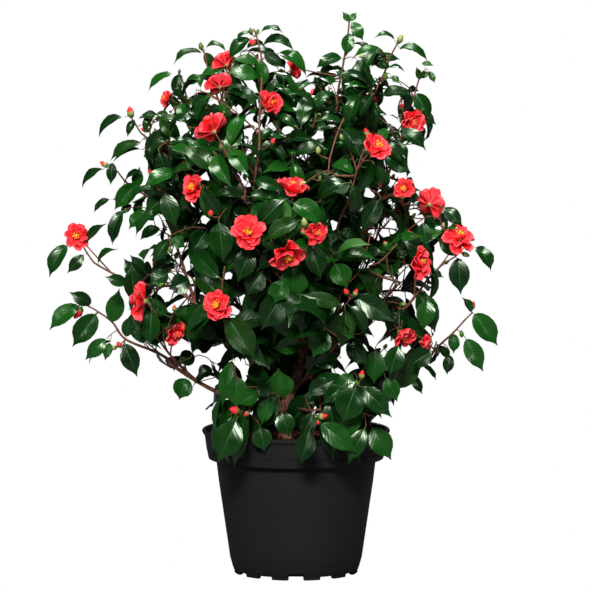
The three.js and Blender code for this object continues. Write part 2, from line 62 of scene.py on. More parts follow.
# Boughs: name, height on the trunk, radius, tip, lift of the middle of the course.
BOUGHS = [
    ("bough_left_low", 285, 5.0, (-222, -20, 372), -34),
    ("bough_front_left", 303, 4.6, (-92, -112, 402), -8),
    ("bough_left", 326, 5.4, (-214, -18, 506), 6),
    ("bough_front_right", 316, 4.4, (52, -112, 392), -4),
    ("bough_right_low", 338, 4.6, (150, -40, 366), -12),
    ("bough_back", 348, 4.8, (-5, 150, 452), 6),
    ("bough_front", 366, 4.6, (-14, -126, 492), 2),
    ("bough_back_left", 374, 4.8, (-132, 116, 476), 8),
    ("bough_right", 392, 5.0, (158, -62, 482), 2),
    ("bough_back_right", 404, 4.8, (112, 116, 470), 10),
    ("bough_left_high", 424, 5.0, (-152, 12, 646), 0),
    ("bough_right_high", 436, 5.0, (136, 2, 628), 0),
    ("bough_top_left", 460, 5.2, (-78, -50, 690), 12),
    ("bough_top", 485, 5.6, (62, -4, 700), 0),
]

# Masses of foliage: name, bough, how far along it the stem leaves, furthest tip.
MASSES = [
    ("left_low", "bough_left_low", 1.0, (-430, -10, 462)),
    ("left_front", "bough_left_low", 0.72, (-284, -150, 486)),
    ("front_left", "bough_front_left", 1.0, (-140, -262, 470)),
    ("low_front_left", "bough_front_left", 0.55, (-112, -206, 262)),
    ("left_mid", "bough_left", 1.0, (-430, -72, 580)),
    ("left_mid_high", "bough_left", 0.82, (-346, 34, 716)),
    ("front_right", "bough_front_right", 1.0, (112, -262, 490)),
    ("low_front_right", "bough_front_right", 0.6, (52, -212, 262)),
    ("right_low", "bough_right_low", 1.0, (342, -30, 432)),
    ("low_right", "bough_right_low", 0.55, (172, -150, 290)),
    ("back_centre", "bough_back", 1.0, (-11, 350, 580)),
    ("back_low", "bough_back", 0.6, (-11, 280, 330)),
    ("front_centre", "bough_front", 1.0, (-80, -290, 600)),
    ("front_middle", "bough_front", 0.8, (40, -285, 600)),
    ("back_left", "bough_back_left", 1.0, (-322, 240, 480)),
    ("back_left_high", "bough_back_left", 0.75, (-214, 246, 724)),
    ("right_mid", "bough_right", 1.0, (344, -70, 560)),
    ("right_front", "bough_right", 0.7, (210, -210, 560)),
    ("back_right", "bough_back_right", 1.0, (290, 240, 476)),
    ("back_right_high", "bough_back_right", 0.75, (190, 246, 724)),
    ("left_high", "bough_left_high", 1.0, (-306, -30, 810)),
    ("left_shoulder", "bough_left_high", 0.82, (-216, 80, 872)),
    ("right_high", "bough_right_high", 0.8, (272, -40, 700)),
    ("right_shoulder", "bough_right_high", 1.0, (244, 30, 886)),
    ("upper_front_right", "bough_right_high", 0.62, (150, -190, 740)),
    ("top_left", "bough_top_left", 1.0, (-170, 14, 932)),
    ("top_front", "bough_top_left", 0.86, (-70, -96, 956)),
    ("upper_front_left", "bough_top_left", 0.66, (-150, -196, 760)),
    ("top_leader", "bough_top", 1.0, (90, 0, 998)),
    ("top_right", "bough_top", 0.74, (170, -46, 938)),
    ("upper_front", "bough_top", 0.45, (6, -196, 800)),
    ("top_back", "bough_top", 0.6, (-20, 130, 880)),
]

# Blossoms: middle, width, the way it faces (turn from the front, towards +X, and tilt up, in
# degrees), how far open it is (0 to 1), and how much of it no leaf hides (share of its radius).
BLOSSOMS = [
    ((-81, -290, 623), 60, -5, 14, 0.8, 0.9),
    ((34, -288, 622), 50, 26, -4, 0.42, 0.95),
    ((-14, -282, 584), 66, 24, -40, 0.65, 0.6),
    ((-134, -268, 497), 55, -14, 14, 0.9, 0.9),
    ((-379, -84, 599), 48, -10, 8, 0.7, 0.9),
    ((-270, -165, 494), 70, -98, 6, 0.75, 0.8),
    ((-209, -150, 437), 50, 48, -24, 0.5, 0.8),
    ((-144, -190, 792), 64, -138, 36, 0.75, 0.9),
    ((-174, -190, 691), 54, -42, 14, 0.55, 0.6),
    ((-132, -70, 862), 54, 185, 42, 0.62, 0.7),
    ((-122, -24, 897), 50, -160, 40, 0.5, 0.3),
    ((-226, 20, 832), 36, -72, 14, 0.6, 0.8),
    ((-43, -150, 834), 52, 30, 14, 0.45, 0.5),
    ((-5, -190, 690), 66, 30, 66, 0.6, 0.5),
    ((-3, -60, 886), 44, 110, 10, 0.7, 0.4),
    ((200, -66, 796), 54, 40, -12, 0.6, 0.8),
    ((136, -206, 762), 60, 38, 34, 0.7, 0.7),
    ((186, -140, 685), 42, -12, 10, 0.6, 0.9),
    ((235, -70, 655), 58, 150, 14, 0.6, 0.8),
    ((282, -100, 600), 60, 20, 50, 1.0, 0.8),
    ((212, -140, 559), 60, 52, 2, 0.6, 0.7),
    ((183, -140, 433), 58, 46, -36, 0.3, 0.6),
    ((220, -120, 417), 42, 70, -16, 0.35, 0.7),
    ((-60, 300, 640), 56, 186, 10, 1.0, 0.8),
    ((120, 262, 560), 52, 160, 0, 0.9, 0.8),
    ((-244, 222, 520), 52, 226, 10, 1.0, 0.8),
    ((40, 180, 820), 50, 172, 30, 0.9, 0.8),
]

# Stems that follow a course of their own, most of them out past the crown's leafy body: mass,
# course, and the leaves that stand clear on them: foot x and z, tip x and z, how much of the
# face looks to the front (0 to 1), and how far the leaf arches over (radians).
SHOOTS = [
    ("left_mid", [(-279, -84, 518), (-342, -84, 548), (-357, -84, 563), (-369, -84, 582)], [
        (-397, 584, -427, 527, 0.5, 1.2), (-368, 567, -396, 535, 1, 0.5),
        (-364, 589, -326, 622, 0.45, 0.9), (-342, 553, -307, 577, 0.35, 1.3),
        (-293, 518, -331, 530, 1, 0.5), (-276, 527, -298, 562, 1, 0.5),
        (-262, 537, -288, 567, 0.9, 0.5)]),
    ("left_low", [(-216, -20, 372), (-244, -20, 390), (-298, -20, 413), (-321, -20, 443),
        (-347, -20, 462), (-368, -20, 474)], [
        (-358, 476, -396, 497, 1, 0.6), (-380, 473, -431, 429, 0.6, 1.2),
        (-349, 457, -391, 400, 1, 0.7),
        (-321, 444, -308, 504, 1, 0.4), (-297, 418, -289, 458, 1, 0.4),
        (-300, 406, -277, 347, 1, 0.5),
        (-333, 414, -369, 377, 1, 0.7), (-323, 409, -363, 367, 0.15, 1.1),
        (-325, 407, -334, 376, 0.9, 0.6)]),
    ("left_high", [(-220, -30, 728), (-255, -30, 763), (-269, -30, 774), (-282, -30, 795),
        (-289, -30, 805)], [
        (-296, 803, -342, 767, 0.25, 1.7), (-281, 798, -293, 768, 0.5, 0.8),
        (-239, 805, -274, 800, 0.5, 0.9), (-221, 777, -265, 732, 0.7, 1),
        (-270, 758, -323, 725, 0.4, 1.4), (-272, 747, -318, 725, 0.25, 0.8)]),
    ("left_mid_high", [(-231, 34, 627), (-275, 34, 668), (-299, 34, 685), (-313, 34, 703),
        (-329, 34, 715)], [
        (-336, 708, -375, 675, 0.25, 1.4), (-322, 719, -325, 680, 0.9, 0.5),
        (-281, 682, -319, 636, 1, 0.8), (-326, 655, -354, 631, 0.35, 1.5),
        (-280, 676, -274, 713, 0.9, 0.4), (-305, 632, -322, 574, 0.3, 0.8),
        (-289, 645, -310, 629, 0.9, 0.5)]),
    ("left_shoulder", [(-184, 80, 795), (-194, 80, 836), (-201, 80, 866)], [
        (-207, 871, -260, 840, 0.25, 1.7), (-205, 873, -214, 831, 0.9, 0.5),
        (-162, 866, -200, 852, 0.6, 0.8)]),
    ("top_left", [(-129, 14, 812), (-146, 14, 861), (-155, 14, 889), (-160, 14, 912),
                  (-165, 14, 924)], [
        (-165, 912, -214, 891, 0.25, 1.5), (-156, 922, -122, 914, 0.35, 1.9),
        (-120, 887, -169, 870, 0.5, 0.9), (-160, 912, -141, 882, 0.9, 0.5)]),
    ("top_front", [(-71, -160, 700), (-63, -150, 757), (-63, -130, 803), (-59, -105, 870),
        (-59, -95, 904), (-66, -94, 939), (-73, -94, 958)], [
        (-59, 954, -21, 951, 0.35, 1.3), (-77, 951, -103, 937, 0.3, 1.3),
        (-56, 930, -4, 920, 0.4, 1.9),
        (-80, 941, -115, 904, 0.55, 1.3), (-54, 916, -20, 891, 0.95, 0.7),
        (-30, 916, 17, 877, 0.4, 1.7),
        (-66, 899, -110, 904, 0.6, 0.9), (-66, 877, -121, 884, 0.8, 0.8)]),
    ("top_leader", [(72, 0, 831), (79, 0, 875), (84, 0, 903), (91, 0, 948), (93, 0, 976)], [
        (98, 966, 117, 934, 0.9, 1.2), (93, 968, 80, 985, 0.9, 0.3), (94, 968, 106, 983, 0.9, 0.3),
        (93, 947, 87, 906, 0.95, 0.5), (79, 905, 35, 886, 0.6, 1.4), (107, 900, 128, 858, 0.9, 1),
        (100, 929, 138, 901, 0.3, 1.2), (89, 859, 135, 844, 1, 0.6)]),
    ("top_right", [(129, -46, 827), (144, -46, 862), (155, -46, 884), (163, -46, 907),
                   (174, -46, 928),
        (179, -46, 941)], [
        (170, 938, 135, 940, 0.35, 1.7), (179, 922, 228, 900, 0.4, 1.5),
        (160, 889, 188, 882, 0.35, 1.8),
        (167, 875, 179, 862, 0.9, 0.5), (162, 891, 132, 896, 0.8, 0.9),
        (155, 908, 96, 902, 0.35, 1.9),
        (151, 842, 200, 842, 0.6, 1.2), (101, 825, 157, 809, 0.9, 1)]),
    ("right_shoulder", [(177, 30, 742), (187, 30, 777), (199, 30, 814), (206, 30, 833),
                        (215, 30, 865)], [
        (217, 865, 210, 888, 0.8, 0.4), (219, 867, 234, 879, 0.8, 0.4),
        (233, 879, 243, 858, 0.7, 0.6),
        (220, 893, 241, 889, 0.6, 0.9), (210, 840, 236, 795, 1, 1.1),
        (208, 812, 247, 784, 0.8, 0.9),
        (205, 819, 226, 823, 0.8, 0.6)]),
    ("right_mid", [(185, -88, 473), (211, -88, 501), (231, -88, 528), (254, -88, 550),
                   (276, -88, 564)], [
        (311, 580, 337, 538, 0.5, 1.6), (280, 562, 285, 498, 1, 0.5), (255, 649, 288, 616, 0.75, 1),
        (262, 613, 283, 613, 0.5, 1.2), (280, 568, 242, 599, 0.9, 0.5),
        (231, 540, 256, 528, 0.9, 0.6),
        (213, 500, 241, 432, 0.7, 1), (219, 623, 226, 578, 0.95, 0.5)]),
    ("right_low", [(187, -30, 357), (229, -30, 378), (245, -30, 398), (275, -30, 426),
                   (294, -30, 447),
        (308, -30, 461)], [
        (311, 459, 352, 403, 0.95, 0.8), (297, 415, 327, 357, 0.95, 0.7),
        (275, 424, 275, 389, 1, 0.8),
        (268, 387, 263, 352, 1, 0.7), (306, 463, 288, 489, 0.6, 0.9), (222, 369, 245, 341, 0.3, 1),
        (233, 401, 194, 369, 1, 0.6), (201, 352, 221, 317, 0.6, 0.8),
        (250, 401, 270, 378, 0.8, 0.6)]),
    ("upper_front_left", [(-86, -185, 663), (-87, -190, 689), (-106, -190, 716), (-125, -185, 755)],
     []),
    ("upper_front_right", [(72, -150, 619), (94, -175, 681), (106, -185, 728), (120, -190, 763)],
     []),
]

# Broad leaves at the front of the crown and over the pot's rim: how far back, foot x and z, tip
# x and z, how much of the face looks to the front, arch, width.
FRONT_LEAVES = [
    (-192, -103, 291, -134, 219, 1, 0.6, 47), (-125, -35, 323, -76, 264, 1, 0.6, 38),
    (-112, -28, 322, -31, 374, 1, 0.3, 46), (-150, -110, 390, -128, 310, 0.7, 0.7, 26),
    (-160, -102, 364, -103, 308, 0.9, 0.5, 35), (-235, -116, 472, -68, 400, 0.9, 0.6, 42),
    (-150, 9, 420, -41, 411, 1, 0.6, 28), (-170, 50, 444, 29, 398, 1, 0.5, 38),
    (-135, -24, 298, -12, 256, 1, 0.6, 32), (-200, 22, 272, 9, 218, 0.95, 0.6, 33),
    (-185, 29, 303, 9, 257, 1, 0.6, 26), (-200, 43, 287, 106, 237, 0.95, 0.7, 35),
    (-190, 101, 348, 79, 286, 1, 0.5, 47), (-178, 114, 348, 165, 295, 1, 0.8, 32),
    (-120, 132, 270, 165, 214, 1, 0.8, 37), (-190, 117, 277, 89, 217, 0.9, 0.6, 28),
    (-150, 176, 416, 161, 363, 1, 0.6, 32), (-120, 71, 391, 26, 380, 1, 0.6, 26),
    (-150, 88, 420, 123, 382, 0.8, 0.6, 30), (-120, 137, 405, 135, 347, 0.6, 0.6, 35),
    (-120, 57, 326, 16, 312, 1, 0.5, 21), (-150, -62, 274, -54, 232, 1, 0.6, 32),
    (-232, -24, 511, -60, 451, 0.95, 0.5, 44), (-205, 99, 507, 171, 462, 1, 0.5, 37),
    (-235, 75, 496, 7, 513, 1, 0.7, 24), (-235, -7, 556, -3, 501, 0.9, 0.5, 44),
    (-255, 27, 597, 42, 540, 0.9, 0.5, 33), (-222, 67, 563, 87, 522, 0.9, 0.6, 35),
    (-220, -131, 633, -123, 565, 0.95, 0.5, 38), (-245, -77, 591, -99, 534, 0.9, 0.5, 35),
    (-265, 3, 640, -54, 606, 0.7, 1, 28), (-215, -3, 667, 44, 631, 0.7, 0.9, 35),
    (-205, 75, 604, 72, 565, 1, 0.5, 24), (-238, -22, 535, -36, 498, 0.9, 0.5, 32),
    (-222, -58, 549, -84, 510, 0.9, 0.6, 35), (-185, 142, 670, 113, 616, 0.95, 0.6, 30),
    (-215, -92, 677, -142, 677, 0.5, 1.2, 26), (-190, -70, 703, -21, 687, 0.8, 0.8, 21),
    (-60, -192, 349, -203, 312, 0.9, 0.8, 32),
    (-110, -279, 491, -284, 557, 0.9, 0.5, 30), (-130, -249, 472, -252, 414, 1, 0.6, 32),
    (-110, 227, 491, 220, 438, 0.9, 0.6, 30), (-40, -237, 610, -271, 589, 0.4, 1.2, 26),
    (-70, -259, 642, -290, 609, 0.5, 1, 24), (-90, -236, 642, -277, 597, 0.35, 1.6, 22),
    (-110, -226, 675, -206, 616, 0.95, 0.6, 30), (-80, -229, 664, -260, 638, 0.8, 0.6, 30),
    (-60, -231, 673, -294, 650, 0.3, 1.8, 24), (-40, -300, 640, -321, 584, 0.3, 1.2, 20),
    (-90, -220, 593, -248, 551, 0.7, 0.8, 22), (-70, -209, 553, -247, 551, 0.4, 1.2, 22),
    (-90, -222, 537, -255, 515, 0.9, 0.6, 28), (-110, -184, 524, -220, 510, 0.9, 0.6, 34),
    (-120, -214, 599, -190, 583, 0.8, 0.6, 22), (-150, -155, 612, -177, 581, 0.95, 0.5, 34),
    (-130, -208, 714, -262, 688, 0.6, 1, 26), (-80, 178, 780, 225, 747, 0.6, 1.3, 26),
    (-90, 152, 758, 185, 725, 0.5, 0.9, 24), (-60, 174, 763, 193, 723, 0.4, 1, 14),
    (-90, 154, 736, 199, 708, 0.8, 0.8, 28),
    (-100, 14, 313, 59, 327, 0.7, 0.8, 26), (-110, 21, 367, 52, 395, 0.8, 0.6, 30),
    (-160, 97, 367, 72, 338, 0.8, 0.7, 28), (-30, -177, 386, -207, 374, 0.8, 0.7, 28),
    (-30, -147, 363, -172, 347, 0.6, 0.8, 24), (-10, -139, 350, -181, 327, 0.2, 1.6, 20),
    (-125, 232, 403, 194, 377, 0.9, 0.6, 32), (-130, 156, 357, 175, 317, 0.9, 0.7, 28),
    (-165, 22, 337, 67, 359, 0.9, 0.6, 28), (-175, 79, 348, 45, 319, 0.9, 0.6, 26),
    (-175, -65, 338, -100, 317, 0.8, 0.6, 28), (-150, -48, 324, -59, 279, 0.9, 0.6, 26),
]

# Bare red-brown shoots that show between the front leaves.
SEEN_SHOOTS = [
    [(52, -150, 439), (64, -155, 459), (76, -165, 487), (77, -172, 510), (105, -182, 542),
     (115, -188, 563), (128, -195, 616)],
    [(120, -190, 553), (144, -190, 564), (173, -190, 595)],
    [(-75, -165, 715), (-91, -170, 755), (-105, -165, 799)],
    [(55, -190, 718), (67, -170, 772), (82, -150, 807)],
    [(-126, -235, 516), (-121, -240, 561)],
    [(-21, -60, 359), (-44, -70, 373), (-68, -80, 397)],
    [(187, 0, 782), (178, 0, 814), (184, 0, 835)],
    [(26, -60, 345), (45, -90, 391), (52, -150, 439)],
    [(-58, -110, 318), (-92, -160, 345), (-110, -182, 386)],
    [(62, -112, 322), (102, -142, 302), (136, -128, 290)],
    [(2, -110, 302), (26, -160, 304), (42, -196, 292)],
    [(-70, -130, 312), (-100, -180, 300)],
]

# Large flower buds: place, length, kind (0 green, 1 cream, 2 red at the tip, 3 opening red) and
# lean from upright in degrees, to the right.
BUDS = [
    (-288, -30, 812, 23, 2, -10), (-337, 30, 717, 19, 2, -60), (-76, -96, 936, 16, 3, -40),
    (-78, -94, 955, 14, 0, -10), (-66, -94, 954, 12, 0, 30), (-166, 14, 925, 16, 0, -10),
    (-87, -195, 712, 14, 0, 0), (38, -185, 755, 16, 1, 0), (-39, -185, 771, 12, 3, 20),
    (-145, -215, 651, 16, 3, 0), (14, -275, 639, 19, 1, -10), (12, -272, 624, 14, 2, 0),
    (-237, -90, 684, 19, 2, -60), (92, -80, 825, 19, 2, 0), (121, -120, 782, 18, 2, -20),
    (184, 0, 817, 21, 2, 5), (181, -46, 940, 19, 1, 20), (158, -46, 908, 14, 0, 0),
    (155, -46, 875, 16, 0, 10), (169, -60, 702, 12, 0, 20), (193, -80, 603, 18, 2, 50),
    (205, -70, 635, 12, 0, 40), (-217, -150, 581, 12, 0, -20), (-382, -20, 459, 26, 3, -150),
    (85, -225, 517, 14, 3, -30), (102, -225, 515, 16, 2, 20), (302, -88, 579, 16, 2, 70),
    (295, -88, 567, 16, 1, 110), (279, -88, 572, 12, 2, 10), (308, -30, 474, 19, 2, 15),
    (289, -30, 425, 14, 0, -5), (113, -185, 370, 19, 2, 10), (103, -185, 356, 12, 0, -60),
    (-106, -200, 310, 21, 3, -70), (46, -205, 300, 21, 2, 80), (38, -205, 288, 10, 3, 170),
    (60, -150, 330, 10, 3, -60), (-310, -24, 405, 14, 3, -30), (-321, -24, 398, 16, 2, -100),
    (-264, 0, 779, 18, 2, -80), (-205, 80, 878, 10, 0, 10), (-242, 14, 801, 14, 0, 0),
    (100, 0, 945, 9, 0, 30), (96, -190, 662, 16, 3, -60), (255, -80, 618, 14, 1, 10),
    (262, -80, 554, 12, 0, 60), (-349, -20, 447, 14, 0, 110), (-257, -150, 493, 14, 0, 100),
    (-232, -120, 518, 14, 0, 60), (41, -190, 708, 12, 0, 0), (130, -60, 782, 12, 3, 30),
    (136, -20, 832, 18, 3, 0), (12, -190, 698, 16, 1, 60), (-130, 14, 859, 18, 1, 160),
    (0, -20, 893, 12, 3, 0),
]

# Gaps in the crown where the sky shows through: x, z and half width, seen from the front.
SKY = [
    (-255, 824, 16), (-177, 887, 15), (-182, 845, 7), (-157, 849, 7), (-145, 824, 6),
    (-217, 810, 6),
    (-199, 779, 8), (-247, 782, 7), (-308, 768, 15), (-287, 723, 15), (-268, 728, 9),
    (-335, 682, 11),
    (-265, 691, 6), (-105, 810, 7), (-77, 852, 7), (-80, 793, 7), (-81, 770, 7), (-84, 756, 5),
    (-45, 887, 8), (-14, 775, 6), (-158, 691, 5), (-89, 686, 6), (-129, 835, 6), (-80, 870, 5),
    (-100, 915, 8), (-145, 915, 11), (26, 891, 13), (2, 865, 6), (26, 844, 6), (70, 852, 8),
    (93, 893, 8), (107, 910, 8), (140, 879, 8), (168, 861, 9), (175, 879, 7), (198, 873, 15),
    (229, 856, 11), (168, 826, 13), (149, 812, 7), (205, 819, 5), (170, 788, 8), (40, 768, 8),
    (16, 730, 4), (159, 731, 7), (194, 742, 8), (215, 730, 13), (180, 705, 9), (163, 707, 6),
    (161, 681, 5), (124, 665, 8), (126, 689, 4), (-333, 633, 11), (-295, 631, 11), (-300, 593, 18),
    (-265, 584, 16), (-249, 598, 13), (-233, 617, 4), (-219, 596, 7), (-247, 547, 5),
    (-207, 549, 7),
    (-193, 572, 6), (-183, 543, 5), (-193, 526, 8), (-221, 519, 7), (-232, 494, 8), (-207, 494, 7),
    (-184, 499, 6), (-220, 457, 7), (-195, 471, 5), (-160, 483, 6), (-107, 459, 7), (-93, 485, 5),
    (-118, 521, 5), (-177, 644, 5), (-156, 619, 6), (-86, 526, 4), (-325, 547, 11), (-344, 498, 15),
    (-302, 492, 9), (-307, 445, 13), (-330, 420, 9), (-260, 363, 22), (-225, 399, 8),
    (-209, 390, 8),
    (-190, 395, 7), (-174, 372, 7), (-148, 385, 13), (-128, 392, 7), (-95, 353, 7), (-81, 370, 5),
    (-183, 321, 22), (-158, 312, 16), (86, 651, 4), (68, 607, 5), (158, 605, 15), (123, 607, 5),
    (132, 586, 6), (167, 645, 5), (202, 640, 9), (210, 617, 7), (247, 565, 9), (126, 543, 6),
    (107, 536, 5), (190, 529, 7), (156, 513, 5), (158, 492, 9), (176, 494, 8), (188, 485, 5),
    (207, 471, 8), (218, 448, 11), (144, 432, 11), (134, 402, 8), (162, 400, 7), (188, 395, 7),
    (239, 408, 7), (91, 388, 7), (69, 354, 5), (98, 362, 6), (260, 529, 15), (265, 483, 22),
    (264, 441, 16), (226, 499, 5), (239, 346, 15), (201, 310, 15), (86, 466, 4), (2, 360, 6),
    (-42, 351, 4), (77, 379, 5), (-167, 282, 13), (-176, 259, 13), (167, 282, 11), (153, 259, 11),
]

# The top of the crown's leafy body, along x, seen from the front.
CROWN_TOP = np.array([
    (-300, 770), (-250, 812), (-222, 846), (-187, 884), (-160, 908), (-134, 922), (-99, 930),
    (-73, 926), (-46, 922), (-23, 910), (-6, 895), (15, 880), (38, 892), (59, 904), (85, 914),
    (112, 916), (138, 922), (164, 914), (182, 902), (203, 872), (226, 826), (260, 752),
], float)

LOOKED_FROM = np.array([0.0, -8000.0, 1250.0])    # the plant turns its best side this way


def unit(v):
    """Vectors scaled to length one."""
    return v / np.maximum(np.linalg.norm(v, axis=-1, keepdims=True), 1e-9)


def mix(a, b, t):
    return a + (b - a) * t


def smoothstep(low, high, x):
    t = np.clip((x - low) / (high - low), 0, 1)
    return t * t * (3 - 2 * t)


# ------------------------------------------------------------------ meshes from arrays

def put(name, data):
    thing = bpy.data.objects.new(name, data)
    bpy.context.scene.collection.objects.link(thing)
    return thing


def make_piece(name, points, tris, quads, materials, tri_slots=None, quad_slots=None,
               uv=None, smooth=True, sharp=None):
    """One mesh object from arrays: points in mm, triangles and quads as index rows, and the
    material number of each. `sharp` is the angle in degrees past which an edge stays hard."""
    points = np.asarray(points, dtype=np.float64).reshape(-1, 3) * MM
    tris = np.asarray(tris, dtype=np.int64).reshape(-1, 3)
    quads = np.asarray(quads, dtype=np.int64).reshape(-1, 4)
    mesh = bpy.data.meshes.new(name)
    loops = np.concatenate([tris.ravel(), quads.ravel()])
    totals = np.concatenate([np.full(len(tris), 3), np.full(len(quads), 4)])
    starts = np.concatenate([[0], np.cumsum(totals)[:-1]])
    mesh.vertices.add(len(points))
    mesh.vertices.foreach_set("co", points.ravel())
    mesh.loops.add(len(loops))
    mesh.loops.foreach_set("vertex_index", loops.astype(np.int32))
    mesh.polygons.add(len(totals))
    mesh.polygons.foreach_set("loop_start", starts.astype(np.int32))
    mesh.polygons.foreach_set("use_smooth", np.full(len(totals), smooth))
    slots = np.concatenate([
        np.zeros(len(tris), int) if tri_slots is None else np.asarray(tri_slots).ravel(),
        np.zeros(len(quads), int) if quad_slots is None else np.asarray(quad_slots).ravel(),
    ])
    mesh.polygons.foreach_set("material_index", slots.astype(np.int32))
    if uv is not None:
        layer = mesh.uv_layers.new(name="along")
        corners = np.asarray(uv).reshape(-1, 2)[loops]
        layer.data.foreach_set("uv", corners.astype(np.float32).ravel())
    for material in materials:
        mesh.materials.append(material)
    mesh.update(calc_edges=True)
    mesh.validate()
    if sharp is not None:
        mesh.set_sharp_from_angle(angle=math.radians(sharp))
    piece = put(name, mesh)
    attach(piece, "root")
    return piece


def copies(faces, stride, count):
    """Index rows of one shape repeated for `count` copies, each `stride` points long."""
    faces = np.asarray(faces)
    return (faces[None] + stride * np.arange(count)[:, None, None]).reshape(-1, faces.shape[1])


def tube_faces(rings, sides):
    """Quads of a tube's wall and triangles of its two end caps, for points laid out ring by
    ring with the two cap middles last."""
    ring, side = np.meshgrid(np.arange(rings - 1), np.arange(sides), indexing="ij")
    a = ring * sides + side
    b = ring * sides + (side + 1) % sides
    quads = np.stack([a, b, b + sides, a + sides], -1).reshape(-1, 4)
    side = np.arange(sides)
    foot, tip = rings * sides, rings * sides + 1
    low = np.stack([np.full(sides, foot), (side + 1) % sides, side], -1)
    last = (rings - 1) * sides
    high = np.stack([np.full(sides, tip), last + side, last + (side + 1) % sides], -1)
    return np.concatenate([low, high]), quads


def tubes(lines, radii, sides):
    """Round tubes along lines. lines is (count, rings, 3) and radii (count, rings) or
    (count, rings, sides): each ring stands square to its line, at that radius."""
    tangent = unit(np.gradient(lines, axis=1))
    overall = np.abs(unit(lines[:, -1] - lines[:, 0]))
    reference = np.eye(3)[np.argmin(overall, axis=1)][:, None, :]
    first = unit(reference - tangent * np.sum(reference * tangent, -1, keepdims=True))
    second = np.cross(tangent, first)
    turn = np.arange(sides) * 2 * math.pi / sides
    radii = radii[..., None] if radii.ndim == 2 else radii
    ring = first[:, :, None] * np.cos(turn)[:, None] + second[:, :, None] * np.sin(turn)[:, None]
    walls = lines[:, :, None] + ring * radii[..., None]
    return np.concatenate([walls.reshape(len(lines), -1, 3), lines[:, :1], lines[:, -1:]], axis=1)


class Joined:
    """Shapes of several sorts, gathered into the arrays of one piece."""

    def __init__(self):
        self.rows = dict(points=[], tris=[], quads=[], tri_slots=[], quad_slots=[])
        self.size = 0

    def add(self, shapes, tris, quads, slot=0):
        """Shapes are (count, points, 3), with the same faces for each, in one material."""
        count, stride = shapes.shape[:2]
        new = dict(points=shapes.reshape(-1, 3), tris=copies(tris, stride, count) + self.size,
                   quads=copies(quads, stride, count) + self.size,
                   tri_slots=np.full(len(tris) * count, slot),
                   quad_slots=np.full(len(quads) * count, slot))
        for key, rows in new.items():
            self.rows[key].append(rows)
        self.size += count * stride

    def make(self, name, materials):
        return make_piece(name, materials=materials,
                          **{key: np.concatenate(rows) for key, rows in self.rows.items()})


def bezier(start, control, end, steps):
    """Points of a quadratic curve: (1-t)^2 start + 2t(1-t) control + t^2 end."""
    t = np.linspace(0, 1, steps)[:, None]
    return (1 - t) ** 2 * start + 2 * t * (1 - t) * control + t * t * end


def spaced(line, steps):
    """The same line with its points evenly spaced along it."""
    lengths = np.concatenate([[0], np.cumsum(np.linalg.norm(np.diff(line, axis=0), axis=1))])
    wanted = np.linspace(0, lengths[-1], steps)
    return np.stack([np.interp(wanted, lengths, line[:, k]) for k in range(3)], -1)


def spot_on(line, share):
    """The point and heading of an evenly spaced line at a share of its length."""
    place = share * (len(line) - 1)
    i = min(int(place), len(line) - 2)
    return line[i] + (line[i + 1] - line[i]) * (place - i), unit(line[i + 1] - line[i])


def length_of(line):
    return float(np.linalg.norm(np.diff(line, axis=0), axis=1).sum())


# ------------------------------------------------------------------ limbs: trunk and boughs

def catmull_rom(knots, steps):
    """Points of a smooth curve through knots, by Catmull and Rom's rule with
    the end knots mirrored."""
    p = np.asarray(knots, float)
    p = np.concatenate([[2 * p[0] - p[1]], p, [2 * p[-1] - p[-2]]])
    out = []
    for i in range(1, len(p) - 2):
        t = np.linspace(0, 1, steps, endpoint=i == len(p) - 3)[:, None]
        a, b, c, d = p[i - 1:i + 3]
        out.append(0.5 * (2 * b + (c - a) * t + (2 * a - 5 * b + 4 * c - d) * t ** 2
                          + (3 * b - a - 3 * c + d) * t ** 3))
    return np.concatenate(out)


TRUNK_LINE = spaced(catmull_rom([(x, y, SOIL_TOP + above) for x, y, above in TRUNK_COURSE], 40),
                    200)
TRUNK_LENGTH = length_of(TRUNK_LINE)


def trunk_radius(share, turn=0.0):
    """Radius falling evenly to the tip, times a root flare that dies away up the trunk and five
    low ribs where the roots run out."""
    swell = np.exp(-share * TRUNK_LENGTH / TRUNK["flare_height"])
    ribs = 1 + 0.16 * np.cos(5 * turn) * swell
    return mix(TRUNK["radius"], TRUNK["tip"], share) * (1 + TRUNK["flare"] * swell) * ribs


def bough_line(height, tip, lift, steps=60):
    """The course of a bough: from the trunk's middle line at a height to its tip."""
    tip = np.array(tip, float)
    top = len(TRUNK_LINE) - 1
    share = np.argmax(TRUNK_LINE[:, 2] >= height) if height < TRUNK_LINE[top, 2] else top
    start = TRUNK_LINE[share].copy()
    control = (start + tip) / 2
    if share == top:
        heading = unit(TRUNK_LINE[-1] - TRUNK_LINE[-2])
        start += 0.3 * heading
        control = start + heading * 0.4 * np.linalg.norm(tip - start)
    control = control + UP * lift
    return spaced(bezier(start, control, tip, 80), steps)


BOUGH_LINES = {name: bough_line(height, tip, lift) for name, height, _, tip, lift in BOUGHS}
BOUGH_RADIUS = {name: radius for name, _, radius, _, _ in BOUGHS}


# ------------------------------------------------------------------ the rule for a mass

LEAF = dict(length=100.0, width=50.0)
STEM = dict(radius=2.9, tip=1.3)
TWIG = dict(radius=1.7, tip=0.95)
LEAN_OVER = 40.0                      # how far a leaf may lean into the next mass's space
LIMB_MARGIN = 1.5
POT_MARGIN = 3.0
PAST_REACH = 8.0
LEAF_MARGIN = 3.8
PLACED_MARGIN = 3.5
NEAR_LIMB = 75.0                      # limbs and leaves further off than this aren't tried
NEAR_LEAF = 92.0
CROWN_POWER = 2.6
FOOT_SPOTS, MIDDLE_SPOT = 5, 10       # spots by a leaf's foot, and the number of its middle one
CLEAR_AHEAD, CLEAR_VIEW = 70.0, 420.0

